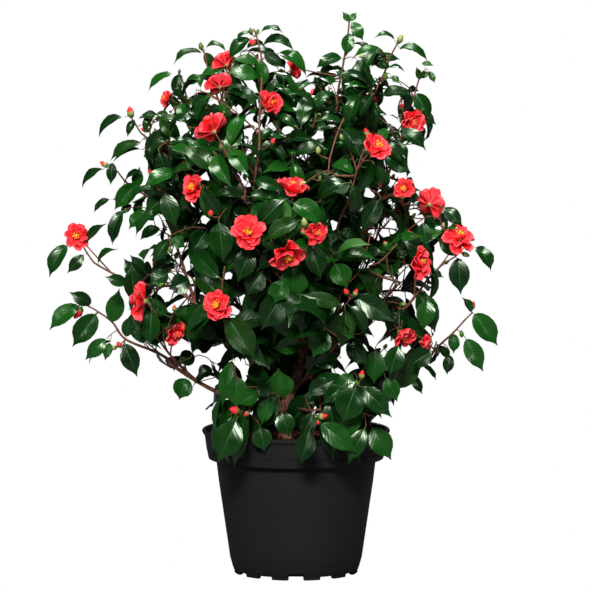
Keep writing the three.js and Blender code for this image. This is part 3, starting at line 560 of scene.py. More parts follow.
# The leafy body of the crown, inside the outlying shoots: height, then how far it goes to the
# left, right, front and back.
CROWN = np.array([
    (190, -150, 176, -215, 200), (268, -150, 168, -262, 250), (303, -170, 172, -285, 290),
    (339, -217, 215, -300, 300), (374, -240, 256, -305, 335), (400, -272, 258, -312, 345),
    (427, -288, 242, -318, 352), (480, -294, 236, -325, 362), (533, -292, 246, -325, 368),
    (569, -284, 258, -322, 366), (600, -278, 262, -318, 355), (631, -286, 250, -312, 345),
    (675, -300, 208, -285, 318), (705, -286, 202, -270, 300), (746, -276, 218, -248, 270),
    (790, -264, 230, -230, 240), (834, -236, 230, -205, 205), (870, -190, 214, -175, 170),
    (900, -165, 200, -140, 120), (925, -120, 170, -100, 80), (945, -60, 120, -50, 40),
], float)


def stem_line(mass):
    """The stem's course: it leaves its bough along the bough's own line, bends to the mass's
    furthest tip, and stops short of it by most of a leaf."""
    _, bough, at, reach = mass
    start, heading = spot_on(BOUGH_LINES[bough], at)
    reach = np.array(reach, float)
    if at == 1.0:
        start = start + 0.3 * heading
    span = reach - start
    end = start + span * (1 - 0.72 * LEAF["length"] / np.linalg.norm(span))
    control = start + heading * 0.32 * np.linalg.norm(span)
    if at < 1.0:
        control = (control + (start + end) / 2) / 2
    return spaced(bezier(start, control, end, 60), 30)


def shoot_stem(number, course):
    """The stem of a mass with a shoot of its own: a smooth course through its own start and the
    shoot's points."""
    return spaced(catmull_rom([tuple(STEM_LINES[number][0])] + course, 20), 30)


STEM_LINES = [stem_line(mass) for mass in MASSES]
MASS_NUMBER = {mass[0]: number for number, mass in enumerate(MASSES)}
for name, course, _ in SHOOTS:
    STEM_LINES[MASS_NUMBER[name]] = shoot_stem(MASS_NUMBER[name], course)
SPINE_A = np.array([line[0] for line in STEM_LINES])
SPINE_B = np.array([mass[3] for mass in MASSES], float)
SPINE_AHEAD = unit(SPINE_B - SPINE_A)


def spine_distances(points):
    """Distance from each point to each mass's spine: (points, masses)."""
    run = SPINE_B - SPINE_A
    share = np.einsum("pmk,mk->pm", points[:, None] - SPINE_A, run) / np.sum(run * run, -1)
    near = SPINE_A + np.clip(share, 0, 1)[..., None] * run
    return np.linalg.norm(points[:, None] - near, axis=-1)


class Space:
    """What is already taken: limbs as balls along their lines, and leaves as spots in groups."""

    def __init__(self):
        self.limb_spots, self.limb_radii = [], []
        self.centres, self.groups = [], []

    def add_limb(self, line, radii):
        steps = max(2, int(length_of(line) / 7))
        share = np.linspace(0, 1, steps)
        index = share * (len(line) - 1)
        spots = np.stack([np.interp(index, np.arange(len(line)), line[:, k]) for k in range(3)], -1)
        self.limb_spots.append(spots)
        self.limb_radii.append(np.interp(share, np.linspace(0, 1, len(radii)), radii))
        self._limbs = None

    def limbs(self):
        if self._limbs is None:
            self._limbs = [np.concatenate(x) for x in (self.limb_spots, self.limb_radii)]
        return self._limbs

    def near_limb(self, points, margin):
        spots, radii = self.limbs()
        middle = points.mean(0)
        close = np.linalg.norm(spots - middle, axis=1) < NEAR_LIMB
        if not close.any():
            return False
        gap = np.linalg.norm(points[:, None] - spots[close], axis=-1) - radii[close]
        return bool((gap < margin).any())

    def crowded(self, centre, points, margin):
        if not self.groups:
            return False
        near = np.linalg.norm(np.array(self.centres) - centre, axis=1) < NEAR_LEAF
        if not near.any():
            return False
        taken = np.concatenate([self.groups[i] for i in np.flatnonzero(near)])
        return bool((np.linalg.norm(points[:, None] - taken, axis=-1) < margin).any())

    def add_group(self, centre, points):
        self.centres.append(centre)
        self.groups.append(points)


space = Space()


def in_crown(points, spare=1.0):
    """Inside the crown's outline: at each height the outline is a rounded oblong, the sum of
    (x / half width)^2.6 and (y / half depth)^2.6 being one on it, and its top, seen from the
    front, is a line of hollows and domes."""
    left, right, front, back = (np.interp(points[:, 2], CROWN[:, 0], CROWN[:, k])
                                for k in (1, 2, 3, 4))
    across = np.abs(points[:, 0] - (left + right) / 2) / ((right - left) / 2)
    deep = np.abs(points[:, 1] - (front + back) / 2) / ((back - front) / 2)
    top = np.interp(points[:, 0], CROWN_TOP[:, 0], CROWN_TOP[:, 1]) + 30 * (spare - 1)
    seen_height = points[:, 2] + points[:, 1] * LOOKED_FROM[2] / -LOOKED_FROM[1] * 0.6
    return bool(((across ** CROWN_POWER + deep ** CROWN_POWER < spare) & (seen_height < top)).all())


def in_cell(number, points, lean=0.0):
    """Points are a mass's own when they are nearer to its spine than to any other, or lean over
    by no more than `lean`, not past its reach, and clear of the pot."""
    across = np.hypot(points[:, 0], points[:, 1])
    low = (points[:, 2] < POT["height"] + POT_MARGIN) & (across < POT["rim"] + POT_MARGIN)
    if low.any() or (points[:, 2] < POT["shelf"] - 12).any():
        return False
    if (((points - SPINE_B[number]) @ SPINE_AHEAD[number]) > PAST_REACH).any():
        return False
    distances = spine_distances(points)
    own = distances[:, number].copy()
    distances[:, number] = np.inf
    return bool((distances.min(1) > own - lean).all())


# Spots spread over a leaf, as shares of its length and half width.
LEAF_SPOTS = [(a, s * min(a / 0.42, (1 - a) / 0.58) ** 0.6)
              for a in (0.2, 0.4, 0.6, 0.8) for s in (-0.9, -0.45, 0, 0.45, 0.9)] + [(1.0, 0.0)]


def bend_line(leaf, share):
    """A point of a leaf's midrib and the face's normal there: the midrib is an arc that starts
    along `ahead` and turns down through `bend` radians."""
    bend = leaf["bend"]
    turned = bend * share
    along = np.sin(turned) / bend
    down = (1 - np.cos(turned)) / bend
    middle = leaf["root"] + leaf["length"] * (leaf["ahead"] * along - leaf["face"] * down)
    normal = leaf["face"] * np.cos(turned) + leaf["ahead"] * np.sin(turned)
    return middle, normal


CLOSE_SPOTS = [(a, s * min(a / 0.42, (1 - a) / 0.58) ** 0.6)
               for a in np.linspace(0.06, 0.97, 9) for s in (-1.0, -0.5, 0, 0.5, 1.0)]


def leaf_spots(leaf, shares=LEAF_SPOTS):
    spots = []
    for along, side in shares:
        middle, _ = bend_line(leaf, along)
        spots.append(middle + leaf["across"] * side * leaf["width"] / 2)
    return np.array(spots)


random = np.random.default_rng(20)
leaves, twig_lines, bud_spots = [], [], []


def try_leaf(number, spot, heading, sideways, size, droop, young):
    """A leaf stands off its twig at an angle, hangs by its own weight, lies along the crown's
    surface and turns its face outward and up. It is kept if it lies in its mass's own space and
    touches nothing."""
    ahead = heading * 0.55 + sideways * 0.85
    ahead = unit(ahead - UP * droop)
    out = unit(np.array([0.42 * spot[0] + 40 * random.normal(), spot[1] - 70.0, 0.0]))
    ahead = unit(ahead - out * 0.6 * np.dot(ahead, out))
    turn = random.normal(0, 0.7)
    out = np.array([out[0] * math.cos(turn) - out[1] * math.sin(turn),
                    out[0] * math.sin(turn) + out[1] * math.cos(turn), 0.0])
    high = smoothstep(560, 840, spot[2])
    light = out * mix(random.uniform(0.5, 2.4), random.uniform(0.1, 1.4), high) + UP
    face = unit(light - ahead * np.dot(light, ahead))
    leaf = dict(ahead=ahead, face=face, across=np.cross(face, ahead), twig=spot,
                root=spot + ahead * random.uniform(7, 11) * (0.6 if young else 1),
                length=LEAF["length"] * size,
                width=LEAF["width"] * size * random.uniform(0.82, 1.06) * mix(1.0, 0.82, high),
                bend=random.uniform(0.35, 1.3) + 0.7 * high, keel=random.uniform(0.3, 0.9),
                twist=random.normal(0, 0.22), wave=random.uniform(0.2, 1.0),
                phase=random.uniform(0, 1), young=young, mass=number)
    spots = leaf_spots(leaf)
    if not in_crown(spots, random.uniform(0.85, 1.16)) or not in_cell(number, spots, LEAN_OVER):
        return False
    if hides_something(spots) or in_sky(leaf_spots(leaf, CLOSE_SPOTS)):
        return False
    if space.near_limb(spots[FOOT_SPOTS:], LIMB_MARGIN):
        return False
    centre = spots[MIDDLE_SPOT]
    if space.crowded(centre, spots, LEAF_MARGIN):
        return False
    space.add_group(centre, spots)
    leaves.append(leaf)
    return True


def up_crown(height):
    """0 in the lower crown, 1 at its top: leaves are smaller and closer there."""
    return smoothstep(430, 900, height)


def nearest_branch(point):
    nearest = [(points[np.argmin(np.linalg.norm(points - point, axis=1))], owner)
               for points, owner in branches]
    return min(nearest, key=lambda row: np.linalg.norm(row[0] - point))


def bridge_twig(start, end, ahead):
    """A thin twig that sets off backwards into the crown and comes to its end from behind."""
    span = np.linalg.norm(end - start)
    control = (start + end) / 2 - ahead * min(12, 0.25 * span)
    control = control + np.array([0, 0.28 * span, 0.1 * span])
    return spaced(bezier(start, control, end, 16), 10)


def placed_leaf(depth, foot_x, foot_z, tip_x, tip_z, show, bend, width=None):
    """A leaf from its foot to its tip: its midrib is an arc over that chord, bowed towards a
    normal that is mixed from the front and from above. It moves forward or back a little until
    it is clear of the others, and a short twig joins it to the nearest branch behind it."""
    line = np.concatenate([points for points, _ in branches])
    owners = np.concatenate([np.full(len(points), owner) for points, owner in branches])
    for shift in (-6, 6, -18, 18, -32, 32, 46, -46):
        foot = np.array([foot_x, depth + shift, foot_z], float)
        tip = np.array([tip_x, depth + 1.6 * shift, tip_z], float)
        chord = tip - foot
        c = unit(chord)
        wish = show * np.array([0, -1, 0.15]) + (1.02 - show) * np.array([-0.2 * c[0], 0, 1.0])
        n = unit(wish - c * np.dot(wish, c))
        ahead = c * math.cos(bend / 2) + n * math.sin(bend / 2)
        face = n * math.cos(bend / 2) - c * math.sin(bend / 2)
        length = float(np.linalg.norm(chord)) * bend / (2 * math.sin(bend / 2))
        behind = np.clip(foot[1] - line[:, 1], 0, 60)
        nearest = np.argmin(np.linalg.norm(line - foot, axis=1) + behind)
        near, number = line[nearest], int(owners[nearest])
        leaf = dict(ahead=ahead, face=face, across=np.cross(face, ahead), twig=near, root=foot,
                    length=length, width=width or np.clip(length * random.uniform(0.5, 0.58)
                                                          * (0.66 + 0.34 * show), 12, 40),
                    bend=bend, keel=random.uniform(0.3, 0.8), twist=random.normal(0, 0.26),
                    wave=random.uniform(0.5, 1.5), phase=random.uniform(0, 1), young=length < 26,
                    mass=number)
        spots = leaf_spots(leaf)
        if not space.crowded(spots[MIDDLE_SPOT], spots, PLACED_MARGIN):
            break
    if np.linalg.norm(near - foot) > 16:
        leaf["twig"] = foot - ahead * 7 - UP
        bridge = bridge_twig(near, leaf["twig"], ahead)
        twig_lines.append((bridge, 0.95, 0.8, number))
        branches.append((bridge[3:], number))
        if length_of(bridge) > 38:
            bare_bridges.append((number, bridge))
    space.add_group(spots[MIDDLE_SPOT], spots)
    leaves.append(leaf)


def leaves_along(number, line, first, spacing, tip_bud=True):
    """Leaves stand round a twig by the golden angle, closer towards its tip, with one at the tip
    itself. Each tries its own side first, then the next ones round, and hangs more or less. The
    answer is how far out along the twig the outermost leaf stands."""
    count = max(1, round(length_of(line) * (1 - first) / spacing))
    start = random.uniform(0, 2 * math.pi)
    furthest = 0.0
    for i in range(count + 1):
        share = 1 - (1 - first) * (i / count) ** 1.15
        spot, heading = spot_on(line, min(share, 0.995))
        size = random.uniform(0.72, 1.06) * mix(1.04, 0.66, up_crown(spot[2]))
        young = i == 0 and random.uniform() < 0.03
        for attempt in range(9):
            turn = start + GOLDEN_ANGLE * i + attempt * 0.95
            sideways = around(heading, turn)
            if i == 0:
                sideways = sideways * (0.25 + 0.1 * attempt)
            level_out = mix(1.0, 0.5, smoothstep(640, 860, spot[2]))
            droop = (0.35, 0.65, 0.95, 0.1)[attempt % 4] * level_out
            scale = 0.55 if young else size * (1 if attempt < 5 else 0.85)
            if try_leaf(number, spot, heading, sideways, scale, droop, young):
                furthest = max(furthest, share)
                break
    if tip_bud and furthest > 0.9:
        bud_spots.append((*spot_on(line, 1.0), number))
    return furthest


def leafy_part(line, furthest):
    """The twig as far as its outermost leaf; the bare rest isn't grown."""
    whole = spaced(line, 60)
    return spaced(whole[:max(2, int(round(60 * min(1.0, furthest + 0.02))))], 10)


def side_twig(parent, along, outwards, reach, bow):
    """A twig from a point of its parent, forward and outwards, bowed a little upward."""
    start, heading = spot_on(parent, along)
    tip = start + heading * 0.62 * reach + outwards * 0.78 * reach
    control = (start + tip) / 2 + heading * 0.1 * reach + UP * bow
    return spaced(bezier(start, control, tip, 24), 10)


def around(heading, turn):
    """The direction square to a heading, at a turn round it from the level."""
    level = unit(np.cross(heading, UP))
    upward = np.cross(level, heading)
    return level * math.cos(turn) + upward * math.sin(turn)


def inner_shoots():
    """Short leafy shoots along the boughs and the upper trunk, by the golden angle; each counts
    with the mass whose spine is nearest."""
    for k, line in enumerate([*BOUGH_LINES.values(), TRUNK_LINE]):
        length = length_of(line)
        first = 0.32 if k < len(BOUGHS) else 0.66
        for i in range(int(length * (1 - first) / 26)):
            along = first + (i + random.uniform(0.2, 0.8)) * 26 / length
            if along > 0.98:
                continue
            heading = spot_on(line, along)[1]
            outwards = around(heading, GOLDEN_ANGLE * i + k)
            twig = side_twig(line, along, outwards, random.uniform(38, 74), 4)
            number = int(np.argmin(spine_distances(twig[-1:])[0]))
            if not in_crown(twig) or space.near_limb(twig[6:], 1.5):
                continue
            space.add_limb(twig, np.linspace(1.5, 0.9, len(twig)))
            furthest = leaves_along(number, twig, 0.3, 14)
            if furthest > 0:
                twig_lines.append((leafy_part(twig, furthest), 1.5, 0.9, number))


def grow(number):
    """The source's rule for a mass, carried one step finer: a stem, twigs to its blossoms, side
    twigs by the golden angle, each with short twigs of its own, and leaves along them all."""
    stem = STEM_LINES[number]
    length = length_of(stem)
    twigs = []
    for middle, width, turn, tilt, _, _ in BLOSSOM_OF[number]:
        outward = facing(turn, tilt)
        tip = np.array(middle, float) - outward * 0.2 * width
        run = SPINE_B[number] - SPINE_A[number]
        beside = np.clip(np.dot(tip - SPINE_A[number], run) / np.dot(run, run), 0, 1)
        start, heading = spot_on(stem, float(np.clip(beside - 0.15, 0.3, 0.93)))
        control = (start + tip) / 2 + heading * 8 - outward * 0.25 * np.linalg.norm(tip - start)
        twigs.append(spaced(bezier(start, control, tip, 24), 10))
    blossom_twigs = len(twigs)
    for i in range(7):
        along = 0.16 + 0.78 * (i + 0.3 * random.uniform()) / 7
        heading = spot_on(stem, along)[1]
        outwards = around(heading, GOLDEN_ANGLE * i + math.radians(60 * number))
        for share in (0.45, 0.34, 0.24, 0.16):
            reach = np.clip(share * length, 30, 115) * (1.15 - 0.4 * along)
            line = side_twig(stem, along, outwards, reach, 0.05 * reach)
            clear = not space.near_limb(line[5:], 2.5)
            if clear and in_cell(number, line[4:], 8) and in_crown(line):
                twigs.append(line)
                break
    for line in twigs:
        radii = np.linspace(TWIG["radius"], TWIG["tip"], len(line))
        space.add_limb(line, radii)
    finer = []
    leaf_step = mix(12.0, 9.5, up_crown(stem[-1, 2]))
    for k, line in enumerate(twigs):
        for i in range(2):
            if length_of(line) < 42:
                continue
            along = 0.38 + 0.3 * i + 0.08 * random.uniform()
            heading = spot_on(line, along)[1]
            outwards = around(heading, GOLDEN_ANGLE * (i + 2 * k) + number)
            twig = side_twig(line, along, outwards, random.uniform(24, 44), 2)
            clear = not space.near_limb(twig[6:], 1.5)
            if clear and in_cell(number, twig[5:], 16) and in_crown(twig):
                finer.append((twig, k, along))
                space.add_limb(twig, np.linspace(1.2, 0.8, len(twig)))
    reach = [0.0] * len(twigs)
    for line, parent, along in finer:
        furthest = leaves_along(number, line, 0.4, leaf_step)
        if furthest > 0:
            twig_lines.append((leafy_part(line, furthest), 1.2, 0.8, number))
            reach[parent] = max(reach[parent], along)
    for k, line in enumerate(twigs):
        flowering = k < blossom_twigs
        furthest = max(reach[k], leaves_along(number, line, 0.22, leaf_step, tip_bud=not flowering))
        if flowering or furthest > 0:
            line = line if flowering else leafy_part(line, furthest)
            twig_lines.append((line, TWIG["radius"], TWIG["tip"], number))
    leaves_along(number, stem, 0.12, 18)


def facing(turn, tilt):
    """A direction from its turn (0 looks to the front, 90 towards +X) and tilt, in degrees."""
    turn, tilt = math.radians(turn), math.radians(tilt)
    return np.array([math.sin(turn) * math.cos(tilt), -math.cos(turn) * math.cos(tilt),
                     math.sin(tilt)])


space.add_limb(TRUNK_LINE, trunk_radius(np.linspace(0, 1, 50)))
for name, line in BOUGH_LINES.items():
    space.add_limb(line, np.linspace(BOUGH_RADIUS[name], BOUGH_TIP, 20))
for line in STEM_LINES:
    space.add_limb(line, np.linspace(STEM["radius"], STEM["tip"], 20))

BLOSSOM_OF = [[] for _ in MASSES]
BLOSSOM_MIDDLES = np.array([blossom[0] for blossom in BLOSSOMS], float)
BLOSSOM_HALVES = np.array([blossom[1] / 2 for blossom in BLOSSOMS], float)
BLOSSOM_AHEAD = np.array([facing(blossom[2], blossom[3]) for blossom in BLOSSOMS])


def views_kept_open():
    """Lines of sight that rule-grown leaves keep out of: from each blossom the way it faces and
    to where the plant is looked at from, and from the lower trunk, the seen shoots and the
    broad front leaves. For each: start, direction, half width, length."""
    starts, wide, ahead = [*BLOSSOM_MIDDLES], [*BLOSSOM_HALVES], [*BLOSSOM_AHEAD]
    deep = [CLEAR_AHEAD] * len(BLOSSOMS)

    def to_looker(point, half):
        starts.append(point)
        wide.append(half)
        deep.append(CLEAR_VIEW)
        ahead.append(unit(LOOKED_FROM - point))

    for blossom, middle, half in zip(BLOSSOMS, BLOSSOM_MIDDLES, BLOSSOM_HALVES):
        if middle[1] < 120:
            to_looker(middle, blossom[5] * half)
    for point in TRUNK_LINE[(TRUNK_LINE[:, 2] > 268) & (TRUNK_LINE[:, 2] < 395)][::4]:
        to_looker(point, 9.0)
    for point in BOUGH_LINES["bough_left_low"][8:34:3]:
        to_looker(point, 5.0)
    for course in SEEN_SHOOTS + [course for _, course, _ in SHOOTS]:
        for point in spaced(catmull_rom(course, 12),
                            max(3, int(length_of(np.array(course, float)) / 11))):
            to_looker(point, 3.4)
    for depth, foot_x, foot_z, tip_x, tip_z, _, _, width in FRONT_LEAVES:
        for share in (0.3, 0.6):
            to_looker(np.array([mix(foot_x, tip_x, share), depth, mix(foot_z, tip_z, share)]),
                      0.38 * width)
    return np.array(starts), np.array(ahead), np.array(wide), np.array(deep)


VIEW_STARTS, VIEW_AHEAD, VIEW_HALF, VIEW_DEEP = views_kept_open()


def hides_something(points):
    """True where a leaf would stand in a line of sight that is kept open."""
    gap = points[:, None] - VIEW_STARTS
    along = np.sum(gap * VIEW_AHEAD, -1)
    beside = np.sum(gap * gap, -1) - along ** 2
    return bool(((along > -7) & (along < VIEW_DEEP) & (beside < VIEW_HALF ** 2)).any())


SKY_SPOTS = np.array([(x, 0, z) for x, z, _ in SKY], float)
SKY_AHEAD = unit(LOOKED_FROM - SKY_SPOTS)
SKY_HALF = np.array([half for _, _, half in SKY]) + 0.6


def in_sky(points):
    """True where a leaf would close one of the gaps that let the sky through."""
    gap = points[:, None] - SKY_SPOTS
    beside = np.sum(gap * gap, -1) - np.sum(gap * SKY_AHEAD, -1) ** 2
    return bool((beside < SKY_HALF ** 2).any())


def seen_from_front(points):
    """Where points show on the upright plane through the trunk: x and z on it."""
    share = -points[..., 1] / (LOOKED_FROM[1] - points[..., 1])
    return np.stack([points[..., k] + (LOOKED_FROM[k] - points[..., k]) * share for k in (0, 2)],
                    -1)


def fill_the_light(axis, low, size):
    """Leaves turn up wherever light still comes through the crown, seen from the front (axis 0)
    or from the sides (axis 1): the view is laid out in cells, and for each one that no leaf
    covers, outside the gaps, the nearest twigs try a leaf that reaches over it."""
    cell, low = 9.0, np.array(low)
    taken = np.zeros(size, bool)
    share = np.array([(a, b) for a in np.linspace(0.08, 0.95, 9)
                      for b in (-0.8, -0.4, 0, 0.4, 0.8)])

    def seen(points):
        return seen_from_front(points) if axis == 0 else points[..., [1, 2]]

    def cover(leaf):
        turned = leaf["bend"] * share[:, :1]
        middle = leaf["root"] + leaf["length"] / leaf["bend"] * (
            leaf["ahead"] * np.sin(turned) - leaf["face"] * (1 - np.cos(turned)))
        half = leaf["width"] / 2 * np.sin(math.pi * share[:, :1] ** 0.82)
        place = (seen(middle + leaf["across"] * half * share[:, 1:]) - low) / cell
        place = place[((place >= 0) & (place < np.array(size))).all(1)].astype(int)
        taken[place[:, 0], place[:, 1]] = True

    for leaf in leaves:
        cover(leaf)
    spots = np.concatenate([line[2:] for line, _, _, _ in twig_lines])
    owners = np.repeat([number for _, _, _, number in twig_lines], 8)
    places = seen(spots)
    sky_x, sky_z, sky_half = np.array(SKY, float).T
    for k in random.permutation(size[0] * size[1]):
        i, j = divmod(int(k), size[1])
        target = low + (np.array([i, j]) + 0.5) * cell
        middle = [target[0], -20.0, target[1]] if axis == 0 else [0.0, target[0], target[1]]
        gap = axis == 0 and (np.hypot(sky_x - target[0], sky_z - target[1]) < sky_half + 3).any()
        if taken[i, j] or gap or not in_crown(np.array([middle]), 1.1):
            continue
        away = np.linalg.norm(places - target, axis=1)
        near = np.flatnonzero((away > 12) & (away < 62))
        for n in random.permutation(near)[:14]:
            spot, number = spots[n], int(owners[n])
            towards = np.zeros(3)
            towards[[axis, 2]] = target - places[n]
            towards[1 - axis] = random.normal(0, 12)
            smaller = mix(1.0, 0.7, up_crown(spot[2]))
            scale = np.clip(2 * away[n] / LEAF["length"], 0.62, 1.0) * smaller
            if try_leaf(number, spot, unit(towards), unit(towards), scale, 0.0, False):
                cover(leaves[-1])
                break


def nearest_mass(point):
    return int(np.argmin([np.linalg.norm(line - point, axis=1).min() for line in STEM_LINES]))


def seen_shoot(course):
    """A bare shoot on its own course, joined to the nearest stem or bough below it."""
    first = np.array(course[0], float)
    number = nearest_mass(first)
    limbs = np.concatenate([STEM_LINES[number], *BOUGH_LINES.values()])
    below = limbs[limbs[:, 2] < first[2] + 5]
    joint = below[np.argmin(np.linalg.norm(below - first, axis=1))]
    line = spaced(catmull_rom([tuple((joint + first) / 2 - UP * 4)] + course, 12), 24)
    line = spaced(np.concatenate([joint[None], line]), 30)
    space.add_limb(line, np.linspace(2.0, 1.1, 30))
    twig_lines.append((spaced(line, 10), 2.0, 1.1, number))
    return number, line


for blossom, nearest in zip(BLOSSOMS, np.argmin(spine_distances(BLOSSOM_MIDDLES), axis=1)):
    BLOSSOM_OF[nearest].append(blossom)

branches = [(line, number) for number, line in enumerate(STEM_LINES)]
bare_bridges = []
seen_lines = [seen_shoot(course) for course in SEEN_SHOOTS]
branches += [(line[10:], number) for number, line in seen_lines]
for name, _, shoot_leaves in SHOOTS:
    stem = STEM_LINES[MASS_NUMBER[name]]
    for leaf_row in shoot_leaves:
        nearest = np.argmin(np.hypot(stem[:, 0] - leaf_row[0], stem[:, 2] - leaf_row[1]))
        placed_leaf(stem[nearest, 1], *leaf_row)
for leaf_row in FRONT_LEAVES:
    placed_leaf(*leaf_row[:-1], 1.1 * leaf_row[-1])
for number in range(len(MASSES)):
    grow(number)
for number, line in seen_lines:
    leaves_along(number, line, 0.3, 26)
for number, line in bare_bridges:
    leaves_along(number, line, 0.25, 20, tip_bud=False)
inner_shoots()
fill_the_light(0, (-320.0, 250.0), (72, 78))
fill_the_light(1, (-320.0, 260.0), (74, 72))

# ------------------------------------------------------------------ materials

VEINS, VEIN_LEAD = 8, 0.28

def new_material(name):
    material = bpy.data.materials.new(name)
    material.use_nodes = True
    tree = material.node_tree
    return material, tree, tree.nodes["Principled BSDF"]


def fill(tree, node, sockets):
    """Each named or numbered input takes a plain value, or a link from another node."""
    for key, value in sockets.items():
        if isinstance(value, bpy.types.NodeSocket):
            tree.links.new(value, node.inputs[key])
        else:
            node.inputs[key].default_value = value


def add_node(tree, kind, sockets, **settings):
    node = tree.nodes.new("ShaderNode" + kind)
    for key, value in settings.items():
        setattr(node, key, value)
    fill(tree, node, sockets)
    return node


def maths(tree, operation, *values):
    return add_node(tree, "Math", dict(enumerate(values)), operation=operation).outputs[0]


def mottle_group():
    """A colour moved lighter and darker by soft noise on Object coordinates: the colour times
    1 + Amount * (noise - 0.5)."""
    group = bpy.data.node_groups.new("soft_mottle", "ShaderNodeTree")
    for name, way, kind in (("Colour", "INPUT", "Color"), ("Scale", "INPUT", "Float"),
                            ("Amount", "INPUT", "Float"), ("Colour", "OUTPUT", "Color"),
                            ("Mask", "OUTPUT", "Float")):
        group.interface.new_socket(name, in_out=way, socket_type="NodeSocket" + kind)
    given = group.nodes.new("NodeGroupInput")
    place = add_node(group, "TexCoord", {})
    noise = add_node(group, "TexNoise", {"Detail": 3.0, "Vector": place.outputs["Object"],
                                         "Scale": given.outputs["Scale"]}).outputs["Fac"]
    moved = maths(group, "MULTIPLY_ADD", maths(group, "SUBTRACT", noise, 0.5),
                  given.outputs["Amount"], 1.0)
    scaled = add_node(group, "VectorMath", {0: given.outputs["Colour"], "Scale": moved},
                      operation="SCALE")
    fill(group, group.nodes.new("NodeGroupOutput"), {"Colour": scaled.outputs[0], "Mask": noise})
    return group


MOTTLE = mottle_group()


def mottled(tree, shader, colour, scale, amount):
    """Places the mottle group with its own values, feeds Base Color and gives back the mask."""
    node = add_node(tree, "Group", {"Colour": (*colour, 1), "Scale": scale, "Amount": amount},
                    node_tree=MOTTLE)
    tree.links.new(node.outputs["Colour"], shader.inputs["Base Color"])
    return node.outputs["Mask"]


def ranged(tree, source, low, high, target):
    """A mask spread from low to high into a socket."""
    node = add_node(tree, "MapRange", {"From Min": 0.3, "From Max": 0.7, "To Min": low,
                                       "To Max": high, "Value": source})
    tree.links.new(node.outputs["Result"], target)


def bump(tree, shader, height, strength, distance):
    node = add_node(tree, "Bump", {"Strength": strength, "Distance": distance, "Height": height})
    tree.links.new(node.outputs["Normal"], shader.inputs["Normal"])


def noise_on(tree, scale, detail, stretch=None):
    source = add_node(tree, "TexCoord", {}).outputs["Object"]
    if stretch is not None:
        source = add_node(tree, "Mapping", {"Scale": stretch, "Vector": source}).outputs["Vector"]
    sockets = {"Scale": scale, "Detail": detail, "Vector": source}
    return add_node(tree, "TexNoise", sockets).outputs["Fac"]


def two_tones(tree, shader, mask, low, dark, high, light):
    """Base Color runs from dark to light between two levels of a mask."""
    ramp = add_node(tree, "ValToRGB", {"Fac": mask})
    for end, level, colour in zip(ramp.color_ramp.elements, (low, high), (dark, light)):
        end.position = level
        end.color = (*colour, 1)
    tree.links.new(ramp.outputs["Color"], shader.inputs["Base Color"])


def leaf_material(name, colour, roughness, vein=True):
    """A leathery leaf's upper face: deep green, glossy in broad soft patches, with faint side
    veins that run out from the midrib (a sine of the place along, led by the place across)."""
    material, tree, shader = new_material(name)
    mask = mottled(tree, shader, colour, 45.0, 0.9)
    ranged(tree, mask, roughness - 0.05, roughness + 0.09, shader.inputs["Roughness"])
    fill(tree, shader, {"Specular IOR Level": 0.34, "Specular Tint": (0.82, 1.0, 0.74, 1)})
    if vein:
        uv = add_node(tree, "UVMap", {}, uv_map="along")
        split = add_node(tree, "SeparateXYZ", {0: uv.outputs["UV"]})
        lead = maths(tree, "MULTIPLY_ADD", split.outputs["Y"], -VEIN_LEAD, split.outputs["X"])
        wave = maths(tree, "SINE", maths(tree, "MULTIPLY", lead, 2 * math.pi * VEINS))
        both = maths(tree, "MULTIPLY_ADD", wave, 0.8, noise_on(tree, 90.0, 1.0))
        bump(tree, shader, both, 0.07, 0.0006)
    return material


def plain_soft(name, colour, roughness, scale=60.0, amount=0.5):
    material, tree, shader = new_material(name)
    mask = mottled(tree, shader, colour, scale, amount)
    ranged(tree, mask, roughness - 0.08, roughness + 0.08, shader.inputs["Roughness"])
    shader.inputs["Specular IOR Level"].default_value = 0.25
    return material


def bark_material(name, colour, groove, scale, strength):
    """Bark: long noise drawn out up the limb, dark in the grooves."""
    material, tree, shader = new_material(name)
    grain = noise_on(tree, scale, 6.0, stretch=(1.0, 1.0, 0.28))
    two_tones(tree, shader, grain, 0.36, groove, 0.62, colour)
    ranged(tree, grain, 0.9, 0.62, shader.inputs["Roughness"])
    bump(tree, shader, grain, strength, 0.0015)
    return material


LEAF_TINTS = [
    leaf_material("leaf_deep", (0.0024, 0.0185, 0.0024), 0.23),
    leaf_material("leaf_mid", (0.0036, 0.0320, 0.0034), 0.21),
    leaf_material("leaf_bright", (0.0064, 0.060, 0.0046), 0.22),
    leaf_material("leaf_olive", (0.0072, 0.033, 0.0030), 0.24),
]
MIDRIB = plain_soft("leaf_midrib", (0.012, 0.065, 0.010), 0.4)
UNDERSIDE = plain_soft("leaf_underside", (0.012, 0.036, 0.009), 0.5)
YOUNG = leaf_material("leaf_young", (0.018, 0.085, 0.008), 0.3, vein=False)
TWIG_RED = bark_material("twig_red_brown", (0.20, 0.060, 0.03), (0.10, 0.030, 0.016), 500.0, 0.4)
TWIG_GREEN = plain_soft("leaf_stalk_green", (0.07, 0.13, 0.03), 0.45)
BARK = bark_material("bark_old", (0.40, 0.18, 0.10), (0.08, 0.030, 0.018), 330.0, 0.9)
# The petals' foot colour is painted shade: a deep red that stands for the shade between the
# overlapping petals near the blossom's middle.
PETAL_PAINTED_SHADE = plain_soft("petal_foot_painted_shade", (0.48, 0.002, 0.005), 0.5, 120, 0.5)
PETAL = plain_soft("petal_coral", (0.92, 0.010, 0.016), 0.55, 70, 0.9)
PETAL_EDGE = plain_soft("petal_edge_pink", (1.0, 0.100, 0.115), 0.55, 70, 0.9)
PETAL_BACK = plain_soft("petal_back_coral", (0.94, 0.055, 0.068), 0.6, 90, 0.9)
STAMEN = plain_soft("stamen_yellow", (1.0, 0.48, 0.03), 0.6, 200, 0.4)
ANTHER = plain_soft("anther_gold", (1.0, 0.44, 0.015), 0.65, 200, 0.4)
BUD_GREEN = plain_soft("bud_scale_green", (0.085, 0.17, 0.025), 0.5, 160, 0.7)
